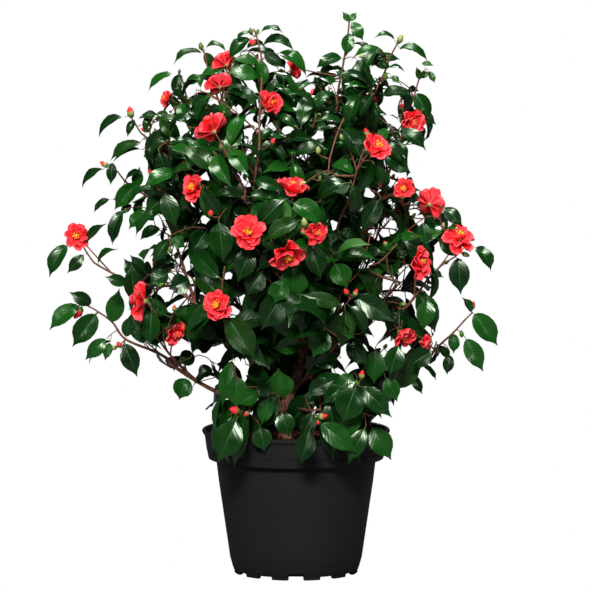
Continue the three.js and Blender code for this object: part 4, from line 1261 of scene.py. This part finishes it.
BUD_PALE = plain_soft("bud_scale_cream", (0.30, 0.33, 0.11), 0.5, 160, 0.6)
BUD_TIP = plain_soft("bud_tip_red", (0.78, 0.03, 0.035), 0.5, 120, 0.5)

# ------------------------------------------------------------------ leaves

ROWS = np.array([0.0, 0.05, 0.14, 0.27, 0.41, 0.55, 0.69, 0.81, 0.90, 0.96, 1.0])
COLUMNS = np.array([-1.0, -0.58, -0.04, 0.04, 0.58, 1.0])


def blade_faces(rows, columns):
    """Faces of a thin closed blade: an upper face of rows by columns, and an under face of two
    halves that share its margins. Points: foot, tip, then each inner row's columns and its
    under middle."""
    inner, wide = rows - 2, columns + 1
    first = 2
    tris, tri_kind, quads, quad_kind = [], [], [], []
    middle = columns // 2 - 1 if columns % 2 == 0 else None
    for c in range(columns - 1):
        kind = "rib" if c == middle else "top"
        tris.append((0, first + c + 1, first + c))
        tri_kind.append(kind)
        last = first + (inner - 1) * wide
        tris.append((1, last + c, last + c + 1))
        tri_kind.append(kind)
    for left, right in ((0, columns), (columns, columns - 1)):
        tris.append((0, first + left, first + right))
        last = first + (inner - 1) * wide
        tris.append((1, last + right, last + left))
        tri_kind += ["under", "under"]
    for r in range(inner - 1):
        a = first + r * wide
        b = a + wide
        for c in range(columns - 1):
            quads.append((a + c, a + c + 1, b + c + 1, b + c))
            quad_kind.append("rib" if c == middle else "top")
        quads.append((a, b, b + columns, a + columns))
        quads.append((a + columns, b + columns, b + columns - 1, a + columns - 1))
        quad_kind += ["under", "under"]
    return np.array(tris), tri_kind, np.array(quads), quad_kind


def blade_points(shape, rows, columns, outline, lift, thickness):
    """Points of many blades at once. For each: the midrib is an arc from `root` along `ahead`,
    bending away from `face`; at share u along it the half width is width/2 times outline(u), and
    a point at v across stands lift(u, v) above the midrib, all turned by twist times u."""
    col = lambda key: np.array([s[key] for s in shape], float)
    root, ahead, face, across = (col(k)[:, None, None] for k in ("root", "ahead", "face", "across"))
    length, width, bend, twist = (col(k)[:, None, None]
                                  for k in ("length", "width", "bend", "twist"))
    u = rows[None, :, None]
    v = np.concatenate([columns, [0.0]])[None, None, :]
    turned = bend * u
    middle = (root + (length * np.sin(turned) / bend)[..., None] * ahead
              - (length * (1 - np.cos(turned)) / bend)[..., None] * face)
    normal = face * np.cos(turned)[..., None] + ahead * np.sin(turned)[..., None]
    half = width / 2 * outline(u)
    side = half * v
    up = lift(u, v, half, {k: col(k)[:, None, None] for k in ("keel", "wave", "phase")})
    up = np.concatenate([up[..., :-1], up[..., -1:] - thickness * np.ones_like(half)], axis=-1)
    angle = twist * (u - 0.25)
    flat = side * np.cos(angle) - up * np.sin(angle)
    high = side * np.sin(angle) + up * np.cos(angle)
    points = middle + flat[..., None] * across + high[..., None] * normal
    count = len(shape)
    ends = middle[:, [0, -1], 0]
    return np.concatenate([ends, points[:, 1:-1].reshape(count, -1, 3)], axis=1)


def leaf_outline(u):
    """Half width along a leaf: a rounded foot, widest near 0.4, and a narrow drawn-out tip."""
    body = np.sin(math.pi * u ** 0.82) ** 0.84
    return np.clip(body, 0, 1) * (1 - 0.66 * smoothstep(0.62, 0.93, u))


def leaf_lift(u, v, half, own):
    """Each half rises from the midrib as a keel and rolls down again to its margin, and the
    margin waves a little along its length."""
    keel = half * (own["keel"] * np.abs(v) - 0.22 * v * v)
    place = 2 * math.pi * (1.9 * u + own["phase"]) + 1.2 * np.sign(v)
    waves = 1.5 * own["wave"] * np.sin(place) * v * v
    return keel + waves * np.sin(math.pi * u)


KINDS = {"top": 0, "rib": 1, "under": 2}


def blade_uv(rows, columns, count):
    """Place along and place across (0 to 1 from the midrib) of each blade point."""
    v = np.abs(np.concatenate([columns, [0.0]]))
    grid = np.stack(np.broadcast_arrays(rows[1:-1, None], v[None]), -1).reshape(-1, 2)
    one = np.concatenate([[[0, 0], [1, 0]], grid])
    return np.tile(one, (count, 1))


def make_leaves(name, chosen, masses):
    """One joined piece of leaves: each spray takes one of the green tints."""
    tris, tri_kind, quads, quad_kind = blade_faces(len(ROWS), len(COLUMNS))
    points = blade_points(chosen, ROWS, COLUMNS, leaf_outline, leaf_lift, 0.5)
    count, stride = points.shape[:2]
    tint = np.array([len(LEAF_TINTS) if leaf["young"] else leaf["tint"] for leaf in chosen])
    rib, under = len(LEAF_TINTS) + 1, len(LEAF_TINTS) + 2

    def slots(kinds):
        kinds = np.array([KINDS[k] for k in kinds])[None]
        return np.where(kinds == 0, tint[:, None], np.where(kinds == 1, rib, under))

    piece = make_piece(name, points, copies(tris, stride, count), copies(quads, stride, count),
                       [*LEAF_TINTS, YOUNG, MIDRIB, UNDERSIDE], slots(tri_kind), slots(quad_kind),
                       uv=blade_uv(ROWS, COLUMNS, count), sharp=75)
    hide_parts(*["foliage_" + MASSES[m][0] for m in masses])
    return piece


tint_random = np.random.default_rng(5)
spray_tint = {}
for leaf in leaves:
    key = (leaf["mass"], int(leaf["twig"][2] // 45), int(leaf["twig"][0] // 60))
    if key not in spray_tint:
        spray_tint[key] = tint_random.choice(4, p=[0.3, 0.36, 0.18, 0.16])
    leaf["tint"] = spray_tint[key] if tint_random.uniform() < 0.7 else tint_random.choice(3)

order = np.argsort([SPINE_B[m][2] + SPINE_A[m][2] for m in range(len(MASSES))])
low_masses, high_masses = sorted(order[:16]), sorted(order[16:])
make_leaves("leaves_lower", [x for x in leaves if x["mass"] in low_masses], low_masses)
make_leaves("leaves_upper", [x for x in leaves if x["mass"] in high_masses], high_masses)

# ------------------------------------------------------------------ twigs and leaf stalks


def make_twigs():
    """Stems, side twigs and leaf stalks as tapering tubes, the stems swelling in small knots spaced
    along them.
    """
    joined = Joined()

    def add(lines, radii, sides, slot):
        joined.add(tubes(lines, radii, sides), *tube_faces(lines.shape[1], sides), slot)

    knots = np.random.default_rng(8)
    stems = np.array(STEM_LINES)
    shares = np.linspace(0, 1, stems.shape[1])
    place = shares[None] * 50 + knots.uniform(0, 6, (len(stems), 1))
    swell = 1 + 0.16 * np.maximum(0, np.sin(place)) ** 6
    add(stems, mix(STEM["radius"], STEM["tip"], shares)[None] * swell, 8, 0)
    lines = np.array([line for line, _, _, _ in twig_lines])
    shares = np.linspace(0, 1, lines.shape[1])[None]
    base = np.array([a for _, a, _, _ in twig_lines])[:, None]
    tip = np.array([b for _, _, b, _ in twig_lines])[:, None]
    add(lines, mix(base, tip, shares), 6, 0)
    stalks = []
    for leaf in leaves:
        middle = (leaf["twig"] + leaf["root"]) / 2 - UP * 0.5
        stalks.append(bezier(leaf["twig"], middle, leaf["root"] + leaf["ahead"] * 2, 4))
    shares = np.linspace(0, 1, 4)[None]
    size = np.array([leaf["length"] / LEAF["length"] for leaf in leaves])[:, None]
    add(np.array(stalks), mix(1.15, 0.8, shares) * size, 5, 1)
    piece = joined.make("twigs", [TWIG_RED, TWIG_GREEN])


# ------------------------------------------------------------------ trunk and boughs


def bark_relief(share, turn, length, seed, height):
    """Long twisted ridges: sines of the angle round the limb, led by the place along it, of
    falling width and height, and a slow swelling up the limb."""
    own = np.random.default_rng(seed)
    relief = np.zeros(np.broadcast(share, turn).shape)
    for k, strength in ((2, 0.9), (3, 0.8), (5, 0.6), (8, 0.4), (13, 0.25)):
        twist, phase, drift = own.uniform(-3, 3), own.uniform(0, 6.28), own.uniform(0.02, 0.06)
        fade = 0.6 + 0.4 * np.sin(share * length * drift + own.uniform(0, 6.28))
        relief = relief + strength * fade * np.sin(k * turn + twist * share * length / 60 + phase)
    swelling = np.sin(share * length / 14 + own.uniform(0, 6.28)) * np.sin(share * length / 23)
    return height * (relief / 3 + 0.5 * swelling)


def limb_points(line, radius_at, sides, seed, height):
    share = np.linspace(0, 1, len(line))[:, None]
    turn = (np.arange(sides) * 2 * math.pi / sides)[None]
    radii = radius_at(share, turn) + bark_relief(share, turn, length_of(line), seed, height)
    return tubes(line[None], radii[None], sides)[0]


def make_limbs():
    """The trunk and the boughs, each a tapering limb with ridged bark."""
    rings, sides = 120, 28
    line = spaced(TRUNK_LINE, rings)
    points = limb_points(line, trunk_radius, sides, 3, 0.55)
    flat = points[:, 2] < SOIL_TOP
    points[flat, 2] = SOIL_TOP
    tris, quads = tube_faces(rings, sides)
    piece = make_piece("trunk_bark", points, tris, quads, [BARK])
    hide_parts("trunk")
    rings, sides = 56, 16
    joined = Joined()
    for k, (name, _, radius, _, _) in enumerate(BOUGHS):
        line = spaced(BOUGH_LINES[name], rings)
        points = limb_points(line, lambda share, turn: mix(radius, BOUGH_TIP, share) + 0 * turn,
                             sides, 40 + k, 0.3)
        joined.add(points[None], *tube_faces(rings, sides))
    piece = joined.make("bough_bark", [BARK])
    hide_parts(*BOUGH_LINES)


make_limbs()

# ------------------------------------------------------------------ blossom

PETAL_ROWS = np.array([0.0, 0.1, 0.26, 0.44, 0.62, 0.78, 0.9, 0.97, 0.95])
PETAL_COLUMNS = np.array([-1.0, -0.7, -0.35, 0.0, 0.35, 0.7, 1.0])


def petal_outline(u):
    """Half width along a petal: narrow at the foot, broad and round near the end."""
    return np.clip(np.sin(math.pi * np.clip(u, 0, 1) ** 1.5 * 0.93), 0, 1) ** 0.62


def petal_lift(u, v, half, own):
    """A petal is cupped across, with a crease down the middle and a crimped outer edge."""
    cup = own["keel"] * half * (v * v - 0.35 * np.exp(-((v / 0.22) ** 2)) * u)
    crimp = own["wave"] * half * 0.12 * np.sin(2 * math.pi * (1.1 * v + own["phase"])) * u ** 3
    return cup + crimp


# Rings of petals, from the outermost: how many, length and width as shares of the blossom's
# width, and how far each leans out from the middle when open, in degrees.
PETAL_RINGS = [(7, 0.50, 0.40, 84), (6, 0.42, 0.35, 64), (4, 0.32, 0.28, 46), (3, 0.2, 0.19, 34)]


def make_blossoms():
    """Semi-double blossoms: rings of crimped petals round a tuft of golden stamens."""
    own = np.random.default_rng(31)
    petals, rings, sepals, stamens, anthers = [], [], [], [], []
    for middle, width, turn, tilt, openness, _ in BLOSSOMS:
        axis = facing(turn, tilt)
        middle = np.array(middle, float)
        base = middle - axis * 0.16 * width
        level = unit(np.cross(UP, axis))
        upward = np.cross(axis, level)
        start = own.uniform(0, 6.28)
        for ring, (count, reach, broad, lean) in enumerate(PETAL_RINGS):
            for i in range(count):
                spin = start + 0.5 * ring + (i + own.uniform(-0.26, 0.26)) * 2 * math.pi / count
                out = level * math.cos(spin) + upward * math.sin(spin)
                open_angle = math.radians(lean * (0.35 + 0.65 * openness) + own.uniform(-13, 11))
                ahead = out * math.sin(open_angle) + axis * math.cos(open_angle)
                face = unit(axis * math.sin(open_angle) - out * math.cos(open_angle))
                petals.append(dict(
                    root=base + out * 0.035 * width + axis * (0.02 * ring * width), ahead=ahead,
                    face=face,
                    across=np.cross(face, ahead), length=reach * width * own.uniform(0.84, 1.08),
                    width=broad * width * own.uniform(0.84, 1.12),
                    bend=own.uniform(-0.35, 0.5) if ring < 2 else own.uniform(-1.0, -0.35),
                    twist=own.normal(0, 0.34), keel=own.uniform(0.3, 0.9),
                    wave=own.uniform(0.8, 2.4), phase=own.uniform(0, 1)))
                rings.append(ring)
        for k in range(5):
            spin = start + k * 2 * math.pi / 5
            out = level * math.cos(spin) + upward * math.sin(spin)
            ahead = unit(out * 0.75 + axis * 0.6)
            face = unit(axis - ahead * np.dot(axis, ahead))
            sepals.append(dict(
                root=base - axis * 0.05 * width, ahead=ahead, face=face,
                across=np.cross(face, ahead),
                length=0.24 * width, width=0.2 * width, bend=-0.9, twist=0.0, keel=0.4, wave=0.0,
                phase=0.0))
        for _ in range(40 if openness > 0.5 else 14):
            spin, spread = own.uniform(0, 6.28), own.uniform(0, 0.3)
            lean = unit(axis + (level * math.cos(spin) + upward * math.sin(spin)) * spread)
            foot = base + (lean - axis) * 4
            tip = foot + lean * width * own.uniform(0.26, 0.35)
            stamens.append(np.linspace(foot, tip, 3))
            anthers.append(tip)
    tris, tri_kind, quads, quad_kind = blade_faces(len(PETAL_ROWS), len(PETAL_COLUMNS))
    points = blade_points(petals + sepals, PETAL_ROWS, PETAL_COLUMNS, petal_outline, petal_lift,
                          0.45)
    count, stride = points.shape[:2]
    rings = np.array(rings + [4] * len(sepals))[:, None]
    inner_rows = len(PETAL_ROWS) - 3
    across = len(PETAL_COLUMNS) + 1
    row_of_quad = np.repeat(np.arange(inner_rows), across)
    under = np.array([k == "under" for k in quad_kind])
    # The two rows of quads by each petal's foot take the painted shade, a deep red for the shade
    # between the petals near the middle; the two outer rows take the pink edge.
    body = np.where(row_of_quad <= 1, 0, np.where(row_of_quad >= inner_rows - 2, 2, 1))
    quad_slots = np.where(rings < 4, np.where(under, 3, body)[None], 4)
    tri_slots = np.where(rings < 4, np.array([3 if k == "under" else 2 for k in tri_kind])[None], 4)
    piece = make_piece("blossom_petals", points, copies(tris, stride, count),
                       copies(quads, stride, count),
                       [PETAL_PAINTED_SHADE, PETAL, PETAL_EDGE, PETAL_BACK, BUD_PALE], tri_slots,
                       quad_slots, sharp=80)
    lines = np.array(stamens)
    corner = np.concatenate([np.eye(3), -np.eye(3)]) * 1.5
    eight = [(0, 1, 2), (1, 3, 2), (3, 4, 2), (4, 0, 2), (1, 0, 5), (3, 1, 5), (4, 3, 5), (0, 4, 5)]
    joined = Joined()
    joined.add(tubes(lines, np.full(lines.shape[:2], 0.32), 3), *tube_faces(3, 3))
    joined.add(np.array(anthers)[:, None] + corner[None], eight, np.zeros((0, 4), int), 1)
    piece = joined.make("blossom_stamens", [STAMEN, ANTHER])


make_blossoms()

# ------------------------------------------------------------------ buds


def make_buds():
    """Fat pointed buds at the twig tips: a turned body (radius sin of the place along, drawn to
    a point), wrapped in overlapping scales that stand out in steps, red at the tip where one is
    about to open."""
    own = np.random.default_rng(77)
    rings, sides = 9, 8
    share = np.linspace(0, 1, rings)
    shape = np.sin(math.pi * np.clip(share * 0.96 + 0.03, 0, 1)) ** 0.75
    shape = shape * (1 - 0.25 * share)
    turn = np.arange(sides) * 2 * math.pi / sides
    lines, radii, opening = [], [], []

    def add_bud(spot, axis, length, girth, kind):
        lines.append(spot - axis * 1.5 + axis * length * share[:, None])
        scales = 1 + 0.10 * np.sin(3 * turn[None] + 5.2 * share[:, None] * 3.1)
        radii.append(length * girth * shape[:, None] * scales + 0.05)
        opening.append(kind)

    for x, y, z, length, kind, lean in BUDS:
        lean = math.radians(lean)
        axis = unit(np.array([math.sin(lean), -0.25, math.cos(lean)]))
        spot = np.array([x, y, z], float) - axis * length / 2
        add_bud(spot, axis, length, 0.32 + 0.06 * (kind == 3), kind)
        near, number = nearest_branch(spot)
        twig_lines.append((bridge_twig(near, spot, axis), 1.2, 1.1, number))
    for spot, heading, number in bud_spots:
        if own.uniform() < 0.5:
            continue
        big = own.uniform() < 0.3
        length = own.uniform(12, 16) if big else own.uniform(7, 10)
        axis = unit(heading + own.normal(0, 0.25, 3) + UP * 0.25)
        add_bud(spot, axis, length, 0.33 if big else 0.27, own.choice([1, 2]) if big else 0)
    lines, radii = np.array(lines), np.array(radii)
    walls = tubes(lines, radii, sides)
    count, stride = walls.shape[:2]
    tris, quads = tube_faces(rings, sides)
    opening = np.array(opening)[:, None]
    ring = np.repeat(np.arange(rings - 1), sides)[None]
    top = np.array([0, 1, 2, 2])[opening]
    middle = np.array([0, 1, 1, 2])[opening]
    quad_slots = np.where(ring >= 5, top, np.where(ring >= 3, middle, 0))
    low = np.zeros((count, sides), int)
    tri_slots = np.concatenate([low, low + top], axis=1)
    piece = make_piece("buds", walls, copies(tris, stride, count), copies(quads, stride, count),
                       [BUD_GREEN, BUD_PALE, BUD_TIP], tri_slots, quad_slots)


make_buds()
make_twigs()

# ------------------------------------------------------------------ pot


def pot_material():
    """Black moulded plastic: dull satin, faintly mottled, with a fine moulded grain."""
    material, tree, shader = new_material("pot_black_plastic")
    mask = mottled(tree, shader, (0.0135, 0.0126, 0.013), 9.0, 0.4)
    ranged(tree, mask, 0.62, 0.74, shader.inputs["Roughness"])
    shader.inputs["Specular IOR Level"].default_value = 0.1
    bump(tree, shader, noise_on(tree, 420.0, 3.0), 0.12, 0.0004)
    return material


def soil_material():
    material, tree, shader = new_material("compost")
    grain = noise_on(tree, 210.0, 8.0)
    two_tones(tree, shader, grain, 0.35, (0.02, 0.007, 0.004), 0.68, (0.17, 0.055, 0.028))
    shader.inputs["Roughness"].default_value = 0.95
    bump(tree, shader, grain, 0.8, 0.003)
    return material


def turned_shell(profile, angles):
    """A closed surface of revolution: profile rows of (radius, height) that begin and end on the
    axis, turned through the angles."""
    profile = np.asarray(profile, float)
    radius, height = profile[1:-1, 0], profile[1:-1, 1]
    points = np.stack([radius[:, None] * np.cos(angles), radius[:, None] * np.sin(angles),
                       height[:, None] + 0 * angles], -1)
    ends = np.array([[0, 0, profile[0, 1]], [0, 0, profile[-1, 1]]])
    return points, ends, *tube_faces(len(radius), len(angles))


def arc(centre, radius, start, end, steps):
    """Points of an arc in the profile plane, angles in degrees."""
    turn = np.radians(np.linspace(start, end, steps))
    return [(centre[0] + radius * math.cos(t), centre[1] + radius * math.sin(t)) for t in turn]


def level_arc(radius, turn, height):
    """Points round the axis at one radius and height."""
    return np.stack([radius * np.cos(turn), radius * np.sin(turn), np.full(len(turn), height)], -1)


def make_pot():
    """The pot: a tapered wall with a faint mould step near its foot, a deep two-step collar and a
    rolled lip, turned as one shell, with drain notches cut up into its bottom edge and twelve
    low feet."""
    top, rim, shelf, wall = POT["height"], POT["rim"], POT["shelf"], POT["wall"]
    notch_half = math.asin(NOTCH["width"] / 2 / POT["base"])
    angles = []
    for k in range(NOTCH["count"]):
        middle = k * 90 - 90
        half = math.degrees(notch_half)
        angles += [middle - half - 0.25, middle - half + 0.25]
        angles += [middle + half - 0.25, middle + half + 0.25]
    angles = np.unique(np.round(np.concatenate([np.arange(-180, 180, 2.0), angles]), 3))
    angles = np.radians(angles)
    outside = [(0, 5.4), (96, 5.4), (POT["base"] - 1.2, 5.4), (POT["base"] - 0.2, 6.6),
               (112.6, 14.0), (115.2, 24.4),
               (115.9, 26.2), (118.9, 46.6), (135.9, 163), (139.4, 192),
               (POT["shoulder"], shelf - 1.6)]
    outside += arc((POT["shoulder"] + 2, shelf - 1.6), 1.6, 180, 90, 4)
    outside += [(152.6, shelf)] + arc((152.8, shelf + 1.0), 1.0, -80, 0, 4)
    outside += [(156.0, 213.6), (155.2, 214.6), (155.4, 215.8), (156.9, 216.8), (160.0, 240.0),
                (160.6, 243.6)]
    outside += [(162.6, 245.2)] + arc((rim - 3.6, top - 3.8), 3.6, -40, 95, 9)
    inside = [(158.6, top - 1.4), (157.4, top - 6), (156.9, top - 12), (153.2, 216), (151.6, 208)]
    inside += arc((148.2, shelf + wall + 3.0), 3.0, 0, -90, 4)
    inside += [(POT["shoulder"] - wall + 1, shelf + wall),
               (POT["shoulder"] - wall, shelf + wall - 1),
               (133.3, 163), (116.1, 46.6), (POT["base"] - wall, 9.8), (0, 9.4)]
    points, ends, tris, quads = turned_shell(outside + inside, angles)
    notch = np.zeros(len(angles), bool)
    for k in range(NOTCH["count"]):
        away = np.abs((angles - math.radians(k * 90 - 90) + math.pi) % (2 * math.pi) - math.pi)
        notch |= away < notch_half
    for row in (1, 2, 3):
        points[row, notch, 2] = NOTCH["top"] - 0.2 * (3 - row)
        across = np.linalg.norm(points[row, notch, :2], axis=1)[:, None]
        points[row, notch, :2] *= (POT["base"] + 1.8 - 0.4 * (3 - row)) / across
    shell = np.concatenate([points.reshape(-1, 3), ends])
    piece = make_piece("pot_shell", shell, tris, quads, [POT_BLACK], sharp=38)
    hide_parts("pot")
    feet, faces, offset = [], [], 0
    steps = 7
    for k in range(FOOT["count"]):
        middle = (k + 0.5) * 360 / FOOT["count"]
        for z, shrink in ((FOOT["height"] + 1.2, 0.0), (0.9, 0.5), (0.0, 1.2)):
            turn = np.radians(np.linspace(middle - FOOT["half_angle"] + 0.55 * shrink,
                                          middle + FOOT["half_angle"] - 0.55 * shrink, steps))
            outer, inner = FOOT["outer"] - shrink, FOOT["inner"] + shrink
            feet += [level_arc(outer, turn, z), level_arc(inner, turn, z)[::-1]]
        sides = 2 * steps
        side = np.arange(sides)
        for level in range(2):
            a = offset + level * sides + side
            b = offset + level * sides + (side + 1) % sides
            faces.append(np.stack([a, a + sides, b + sides, b], -1))
        for i in range(steps - 1):
            base = offset + 2 * sides
            faces.append([[base + i, base + 2 * steps - 1 - i, base + 2 * steps - 2 - i,
                           base + i + 1]])
            faces.append([[offset + i, offset + i + 1, offset + 2 * steps - 2 - i,
                           offset + 2 * steps - 1 - i]])
        offset += 3 * sides
    turn = np.arange(40) * 2 * math.pi / 40
    centre = [level_arc(r, turn, z) for r, z in ((21.5, 6.4), (21, 0.8), (20.2, 0.0))]
    points = np.concatenate(feet + centre)
    middle = np.array([[0, 0, 6.4], [0, 0, 0.0]])
    side = np.arange(40)
    tris = [np.stack([np.full(40, len(points)), offset + side, offset + (side + 1) % 40], -1),
            np.stack([np.full(40, len(points) + 1), offset + 80 + (side + 1) % 40,
                      offset + 80 + side], -1)]
    for level in range(2):
        a, b = offset + 40 * level + side, offset + 40 * level + (side + 1) % 40
        faces.append(np.stack([a, a + 40, b + 40, b], -1))
    piece = make_piece("pot_feet", np.concatenate([points, middle]), np.concatenate(tris),
                       np.concatenate(faces), [POT_BLACK], sharp=38)


def value_noise(x, y, seed, size):
    """Smooth noise on a plane: random heights on a lattice of `size` mm, blended by smoothstep."""
    own = np.random.default_rng(seed)
    table = own.uniform(-1, 1, (64, 64))
    gx, gy = x / size + 32, y / size + 32
    ix, iy = np.floor(gx).astype(int), np.floor(gy).astype(int)
    fx, fy = gx - ix, gy - iy
    fx, fy = fx * fx * (3 - 2 * fx), fy * fy * (3 - 2 * fy)
    at = lambda a, b: table[a % 64, b % 64]
    near = mix(at(ix, iy), at(ix + 1, iy), fx)
    far = mix(at(ix, iy + 1), at(ix + 1, iy + 1), fx)
    return mix(near, far, fy)


def soil_height(radius):
    return np.interp(radius, [0, SOIL["flat"], 108, SOIL["radius"]],
                     [SOIL["height"], SOIL["height"], 233.7, SOIL["edge"]])


def make_soil():
    """Coarse bark compost: a crowned bed with lumps of several sizes, and loose chips of bark
    lying on it at all angles."""
    material = soil_material()
    angles = np.linspace(-math.pi, math.pi, 180, endpoint=False)
    radii = np.linspace(1.5, SOIL["radius"], 64)
    profile = [(0, SOIL["height"])] + [(r, float(soil_height(r))) for r in radii]
    profile += [(152.0, 220), (150.0, 206), (136.6, 205.4), (115.0, 46), (106.6, 11), (0, 10.4)]
    profile = profile[::-1]
    points, ends, tris, quads = turned_shell(profile, angles)
    top = points[:, :, 2] > 227
    x, y = points[..., 0], points[..., 1]
    lumps = sum(height * value_noise(x, y, seed, size)
                for height, seed, size in ((1.6, 1, 17), (1.3, 2, 8), (0.9, 3, 4.1)))
    calm = smoothstep(14, 34, np.hypot(x + 20, y))
    points[..., 2] += np.where(top, lumps * (0.25 + 0.75 * calm) - 1.2, 0)
    shell = np.concatenate([points.reshape(-1, 3), ends])
    own = np.random.default_rng(12)
    count = 2600
    radius = SOIL["radius"] * np.sqrt(own.uniform(0.01, 0.93, count))
    turn = own.uniform(0, 2 * math.pi, count)
    centre = np.stack([radius * np.cos(turn), radius * np.sin(turn),
                       soil_height(radius) + own.uniform(-1.4, 1.6, count)], -1)
    half = own.uniform(0.5, 1.0, (count, 3)) * np.array([5.2, 3.0, 1.2])
    half = half * own.uniform(0.5, 1.25, (count, 1))
    a = unit(own.normal(0, 1, (count, 3)) * np.array([1, 1, 0.35]))
    b = unit(np.cross(a, unit(own.normal(0, 0.5, (count, 3)) + UP)))
    c = np.cross(a, b)
    corner = np.array([(x, y, z) for x in (-1, 1) for y in (-1, 1) for z in (-1, 1)], float)
    jitter = corner[None] * own.uniform(0.6, 1.1, (count, 8, 3)) * half[:, None]
    chips = centre[:, None] + jitter[..., :1] * a[:, None] + jitter[..., 1:2] * b[:, None]
    chips = chips + jitter[..., 2:] * c[:, None]
    box = np.array([(0, 1, 3, 2), (4, 6, 7, 5), (0, 4, 5, 1), (2, 3, 7, 6), (0, 2, 6, 4),
                    (1, 5, 7, 3)])
    chip_quads = copies(box, 8, count)
    piece = make_piece("compost", shell, tris, quads, [material])
    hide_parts("soil")
    piece = make_piece("bark_chips", chips, np.zeros((0, 3), int), chip_quads, [material],
                       smooth=False)


POT_BLACK = pot_material()
make_pot()
make_soil()

# ------------------------------------------------------------------ floor, light and camera

FLOOR_HALF = 30.0

def camera_sees(tree, shown, lit, target):
    """The camera sees one shader, and every other ray meets the other."""
    path = add_node(tree, "LightPath", {})
    choose = add_node(tree, "MixShader", {"Fac": path.outputs["Is Camera Ray"],
                                          1: lit.outputs[0], 2: shown.outputs[0]})
    tree.links.new(choose.outputs[0], target.inputs["Surface"])


def make_stage():
    """A blank white floor that takes no shadow."""
    mesh = bpy.data.meshes.new("floor")
    corners = [(x * FLOOR_HALF, y * FLOOR_HALF, 0) for x, y in ((-1, -1), (1, -1), (1, 1), (-1, 1))]
    mesh.from_pydata(corners, [], [(0, 1, 2, 3)])
    material, tree, shader = new_material("white_floor")
    fill(tree, shader, {"Base Color": (0.16, 0.16, 0.16, 1), "Roughness": 1.0})
    blank = add_node(tree, "Emission", {})
    camera_sees(tree, blank, shader, tree.nodes["Material Output"])
    mesh.materials.append(material)
    put("floor", mesh)


def turn_to(thing, spot, aim):
    thing.location = spot
    thing.rotation_euler = (Vector(aim) - Vector(spot)).to_track_quat("-Z", "Y").to_euler()


def add_light(name, spot, aim, size, power):
    light = bpy.data.lights.new(name, "AREA")
    light.shape = "RECTANGLE"
    light.size, light.size_y = size
    light.energy = power
    turn_to(put(name, light), spot, aim)


def make_light():
    """Plain soft studio light: a white surround that hardly lights, a strong soft box high in
    front, weak ones left and right, one above and a broad one behind."""
    world = bpy.data.worlds.new("studio")
    world.use_nodes = True
    bpy.context.scene.world = world
    tree = world.node_tree
    seen = tree.nodes["Background"]
    fill(tree, seen, {"Color": (1, 1, 1, 1), "Strength": 1.0})
    around = add_node(tree, "Background", {"Color": (0.95, 0.98, 1.0, 1), "Strength": 0.05})
    camera_sees(tree, seen, around, tree.nodes["World Output"])
    add_light("front", (-0.6, -5.4, 3.7), (0, 0, 0.5), (1.4, 1.0), 425)
    add_light("left", (-4.0, -4.2, 2.6), (0, 0, 0.65), (0.8, 1.3), 45)
    add_light("right", (4.0, -4.2, 2.8), (0, 0, 0.65), (0.8, 1.3), 35)
    add_light("top", (0.0, -0.6, 3.4), (0, 0, 0.6), (1.2, 0.9), 92)
    add_light("back", (0.6, 4.4, 4.0), (0, 0, 0.5), (1.8, 1.4), 260)


CAMERA = dict(spot=(0.0, -8.0, 1.25), aim=(0.0, 0.0, 0.487), lens=279.0, sensor=36.0)


def make_camera():
    camera = bpy.data.cameras.new("camera")
    camera.lens, camera.sensor_width = CAMERA["lens"], CAMERA["sensor"]
    camera.clip_end = 100
    seat = put("camera", camera)
    turn_to(seat, CAMERA["spot"], CAMERA["aim"])
    bpy.context.scene.camera = seat


bpy.context.scene.view_settings.view_transform = "Standard"
make_stage()
make_light()
make_camera()
